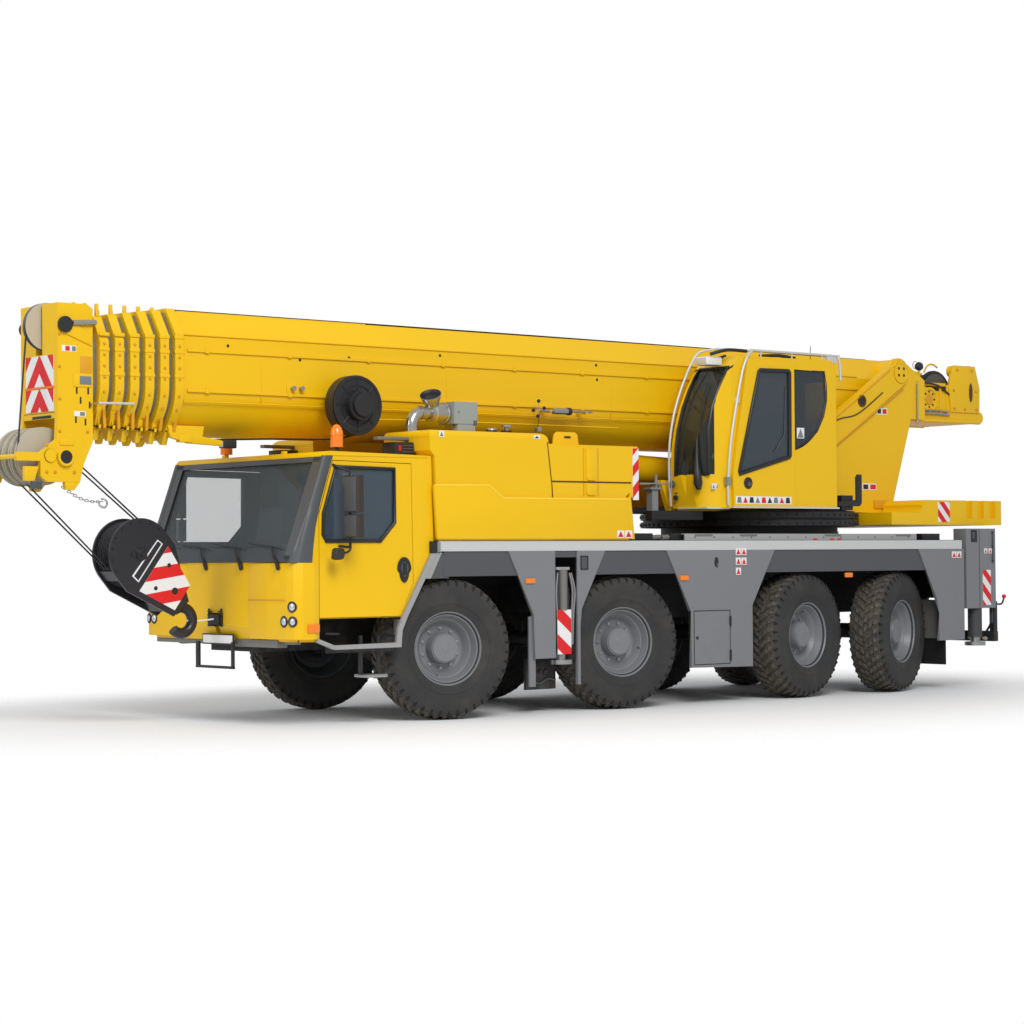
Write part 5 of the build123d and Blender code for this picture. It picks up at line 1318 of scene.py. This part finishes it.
# Superstructure: bosses of the boom's pin, braces, labels, tail plates, winch fittings, beacon.
pinX, pinZ = centres["boomPin"]
superstructureDetails = {
    "disc": [((pinX, -650, pinZ), toLeft, 128, 8, "yellow", 40),
             ((6781, -648, 3446), toLeft, 46, 5, "plastic", 24)]
    + [((pinX + x, -657, pinZ + z), toLeft, 18, 4, "plastic", 16)
       for x, z in ((-45, 52), (45, 52), (-45, -30), (45, -30))],
    "lathe": ((((0, 128), (12, 128), (12, 112), (0, 112)), (pinX, -650, pinZ), toLeft, "yellow", 40),
              (((0, 74), (9, 72), (9, 46), (0, 44)), (6781, -650, 3446), toLeft, "seam", 28)),
    # Braces in the darker yellow: painted shade.
    "tube": (([(5790, -651, 2900), (7290, -651, 3840)], 9, "paintedShadeYellow", 8),
             ([(5790, -651, 2590), (7540, -651, 3640)], 9, "paintedShadeYellow", 8),
             ([(7806, -634, 3206), (7806, -634, 3723)], 12, "steel", 10)),
    "hose": (([(5800, -654, 2890), (6300, -656, 3190), (6700, -656, 3290), (7150, -654, 3560)], 7,
              "plastic", 8),),
    "box": [
        (5729, 5863, -657, -646, 2733, 2857, "plastic", 2),
        (5735, 5775, -660, -648, 2300, 2420, "plastic", 3),
        (7073, 7263, -624, -619, 3296, 3376, "white", 1),
        (7087, 7149, -626, -623, 3308, 3364, "plastic", 1),
        (7177.5, 7249, -626, -623, 3308, 3364, "red", 1), (6805, 7055, -624, -619, 2380, 2460, "white", 1),
        (6819, 6905, -626, -623, 2392, 2448, "plastic", 1),
        (6942.5, 7041, -626, -623, 2392, 2448, "red", 1),
        # Plate in the darker yellow: painted shade.
        (7000, 7230, -640, -618, 2160, 2260, "paintedShadeYellow", 6),
    ] + [(7790, 7822, -640, -616, z - 12, z + 12, "yellow", 3) for z in (3230, 3700)],
    "stripes": (((7650, -1251, 1990), upwards, toFront, rectangle(239, 217), 92, -1.0, 40),),
}
build("superstructureDetails", "superstructure", superstructureDetails, both=True)

tailBolts = ((8700, 3430), (8900, 3430), (9130, 3430), (8690, 3660), (9120, 3660), (8760, 3920), (9040, 3920))
tailDetails = {
    "prism": (("y", -470, -448, ((8640, 3384), (9190, 3384), (9200, 3700), (9110, 3975), (8700, 3975),
                                 (8600, 3700)),
               "yellow", 8),),
    # Bolt heads in the darker yellow: painted shade.
    "bolt": [((x, -470, z), toLeft, 16, "paintedShadeYellow") for x, z in tailBolts]
    + [((8230 + 94 * cos(k * pi / 4), -462, 3530 + 94 * sin(k * pi / 4)), toLeft, 10, "plastic")
       for k in range(8)],
    "oval": (((9020, -469, 3640), 34, 120, 6, "seam"),),
    "lathe": ((((0, 150), (26, 150), (26, 122), (10, 118), (10, 0)), (8230, -450, 3530), toLeft, "yellow",
               36),),
    # Middle of the ring in the darker yellow: painted shade.
    "disc": (((8230, -458, 3530), toLeft, 66, 14, "paintedShadeYellow", 24),),
    "box": [(x, x + 34, -466, -448, 3330, 3720, "yellow", 4) for x in (8040, 8430, 8560)]
    + [(8060, 8560, -452, -380, 3700, 3742, "yellow", 6)],
    "hose": [([(7980, -468, z), (8250, -478, z + 12), (8600, -468, z)], r, "steel", 8)
             for z, r in ((3345, 14), (3385, 10))]
    + [([(8010, -470, 3700), (8150, -480, 3730), (8400, -478, 3700), (8600, -470, 3600)], 12, "plastic", 8)],
    "tube": (([(7980, -462, 3266), (9190, -462, 3266)], 24, "yellow", 12),),
}
build("tailDetails", "superstructure", tailDetails, both=True)

# Top of the tail: beacon, a round fitting in its wire guard, and the rods by the support post.
tailTop = {
    "box": ((9080, 9110, -330, -300, 3830, 3900, "plastic", 4),
            (2840, 3330, -985, -935, 2388, 2402, "steel", 4)),
    "tube": (
        ([(9095, -315, 3890), (9150, -315, 3900)], 16, "plastic", 10),
        ([(8235, -300, 3740), (8235, -300, 3920)], 14, "yellow", 10),
        ([(8160 + 44 * cos(a * pi / 9), -300, 3962 + 46 * sin(a * pi / 9)) for a in range(18)], 4, "trim",
         6, True),
        ([(3048, -960, 2350), (3048, -960, 2368)], 30, "trim", 16),
        ([(3330, -960, 2300), (3330, -960, 2560)], 10, "steel", 10),
    ),
    "lathe": ((((0, 30), (6, 58), (66, 56), (92, 34), (98, 0)), (9150, -315, 3900), upwards, "lensOrange",
               28),
              (((-46, 0), (-40, 40), (0, 58), (30, 46), (42, 0)), (8235, -300, 3950), toLeft, "plastic", 20),
              (((-30, 0), (-30, 70), (30, 70), (30, 0)), (8760, -380, 3905), toLeft, "yellow", 24)),
    "hose": (([(8700, -200, 3960), (8640, -180, 4000), (8560, -160, 3985), (8500, -150, 3900)], 12,
              "yellow", 8),),
}
build("tailTop", "superstructure", tailTop)

# Bolts around the slewing ring, in two rows.
ringBolts = {"centre": (5500, 0), "radius": 1279, "count": 72, "heights": (2065, 1972)}


def ringBolt(n, z):
    angle = 2 * pi * n / ringBolts["count"]
    out = Vector((cos(angle), sin(angle), 0))
    place = Vector((*ringBolts["centre"], z)) + out * ringBolts["radius"]
    return (((0, 0), (0, 17), (9, 17), (11, 12), (11, 0)), place, out, "black", 8)


bolts = [ringBolt(n, z) for n in range(ringBolts["count"]) for z in ringBolts["heights"]]
build("ringBolts", "carrier", {"lathe": bolts})
print("stage: superstructure")


# Hook block: striped cheeks, blank bars, holes and bolts on the guard frame.
blockX, blockZ = centres["hookBlock"]
guardAngles = [radians(50 + 20 * n) for n in range(9)]
hookBlockPlates = {
    "stripes": (((0, -165, 0), upwards, toFront, ((1737, 2583), (1357, 2338), (1119, 2512), (1309, 2903)),
                 120, 0.15, 1580, 3),),
    "prism": (("y", -172, -164, ((-2984, 1453), (-2914, 1391), (-2643, 1758), (-2702, 1799)), "white", 2),
              ("y", -174, -171, ((-2964, 1452), (-2917, 1411), (-2662, 1758), (-2702, 1784)), "hookBlack")),
    "disc": [((x, -169, z), toLeft, r, 4, "plastic", 20)
             for x, z, r in ((-2724, 1334, 20), (-2511, 1304, 34), (-2574, 1553, 20), (-2960, 1660, 26))]
    + [((blockX, -178, blockZ), toLeft, 50, 12, "hookBlack", 28)],
    "bolt": [((blockX, -190, blockZ), toLeft, 22, "plastic")]
    + [((blockX + 315 * cos(a), -166, blockZ + 315 * sin(a)), toLeft, 11, "plastic") for a in guardAngles],
}
build("hookBlockPlates", "hook_block", hookBlockPlates, both=True)

towStrap = {"hose": (([(-2275, -6, 1012), (-2120, -6, 1008), (-1955, -6, 1022)], 8, "white", 8),)}
build("towStrap", "carrier", towStrap)
print("stage: hook block")


# Outriggers: warning plates, jack hoses, pipes and rear covers.
def jackDetails(s):
    # A hose stands at x, and its upper half leans by lean.
    hoses = [[(x, s * 1352, 700), (x + lean * 0.4, s * 1354, 1000), (x + lean, s * 1356, 1250),
              (x - lean * 0.3, s * 1348, 1440)] for x, lean in ((1332, -22), (1506, 26), (1530, 34))]
    return {
        "stripes": (((1316, s * 1366, 604), upwards, toFront, rectangle(457, -186), 150, -0.8, 60, 3,
                     s > 0),),
        "tube": (([(1415, s * 1340, 1060), (1415, s * 1340, 1470)], 46, "tubeGrey", 18),),
        "hose": [(route, 12, "steel", 8) for route in hoses],
        "box": ((1318, 1500, s * 1330, s * 1356, 1470, 1500, "legGrey", 4),),
    }


def rearCover(s):
    return {
        "stripes": (((8249, s * 1376, 985), upwards, toFront, rectangle(425, 150), 105, -1.0, 20, 3, s > 0),),
        "box": [(7890, 8000, s * 1375, s * 1381, 1748, 1893, "plastic", 6),
                (7908, 7950, s * 1380, s * 1384, 1790, 1870, "trim", 3),
                (8040, 8048, s * 1374, s * 1379, 955, 1905, "bandGrey", 1)]
        + [(8275, 8305, s * 1375, s * 1390, z - 12, z + 12, "plastic", 3) for z in (1520, 1690, 1860)],
        "label": [(x, s * 1376, 1610, 60, 60) for x in (8130, 8215)],
        "tube": (([(8290, s * 1384, 1500), (8290, s * 1384, 1880)], 12, "trim", 10),),
    }


for name, s in vehicleSides.items():
    build(f"jackDetails_{name}", f"outrigger_beam_front_{name}", jackDetails(s))
    build(f"rearCover_{name}", f"outrigger_beam_rear_{name}", rearCover(s))

# Under-run guard at the rear with the lever of the coupling.
underrunGuard = {
    "box": [(8346, 8404, y, y + 60, 600, 1300, "black", 6) for y in (-560, 500)] + [
        (8360, 8440, -1330, 1330, 540, 665, "black", 10),
        (8364, 8434, -1326, -1256, 655, 1030, "plastic", 10),
        (8350, 8366, -1316, -1266, 760, 980, "trim", 4)],
    "prism": [("x", 8351, 8362, ((y, 575), (y + 40, 600), (y + 92, 590), (y + 80, 560), (y + 30, 552)),
               "beige", 4)
              for y in (-1240, -1130, -1010)],
    "hose": (([(8400, -1290, 1005), (8480, -1300, 990), (8545, -1306, 1000), (8580, -1308, 1062)], 11,
              "plastic", 10),
             ([(8430, -1270, 980), (8470, -1240, 860), (8450, -1200, 740), (8425, -1160, 660)], 14,
              "rubber", 10)),
    "lathe": ((((-26, 0), (-22, 16), (-8, 26), (8, 26), (22, 16), (26, 0)), (8583, -1308, 1084), upwards,
               "red", 20),),
}
build("underrunGuard", "carrier", underrunGuard)
print("stage: outriggers")
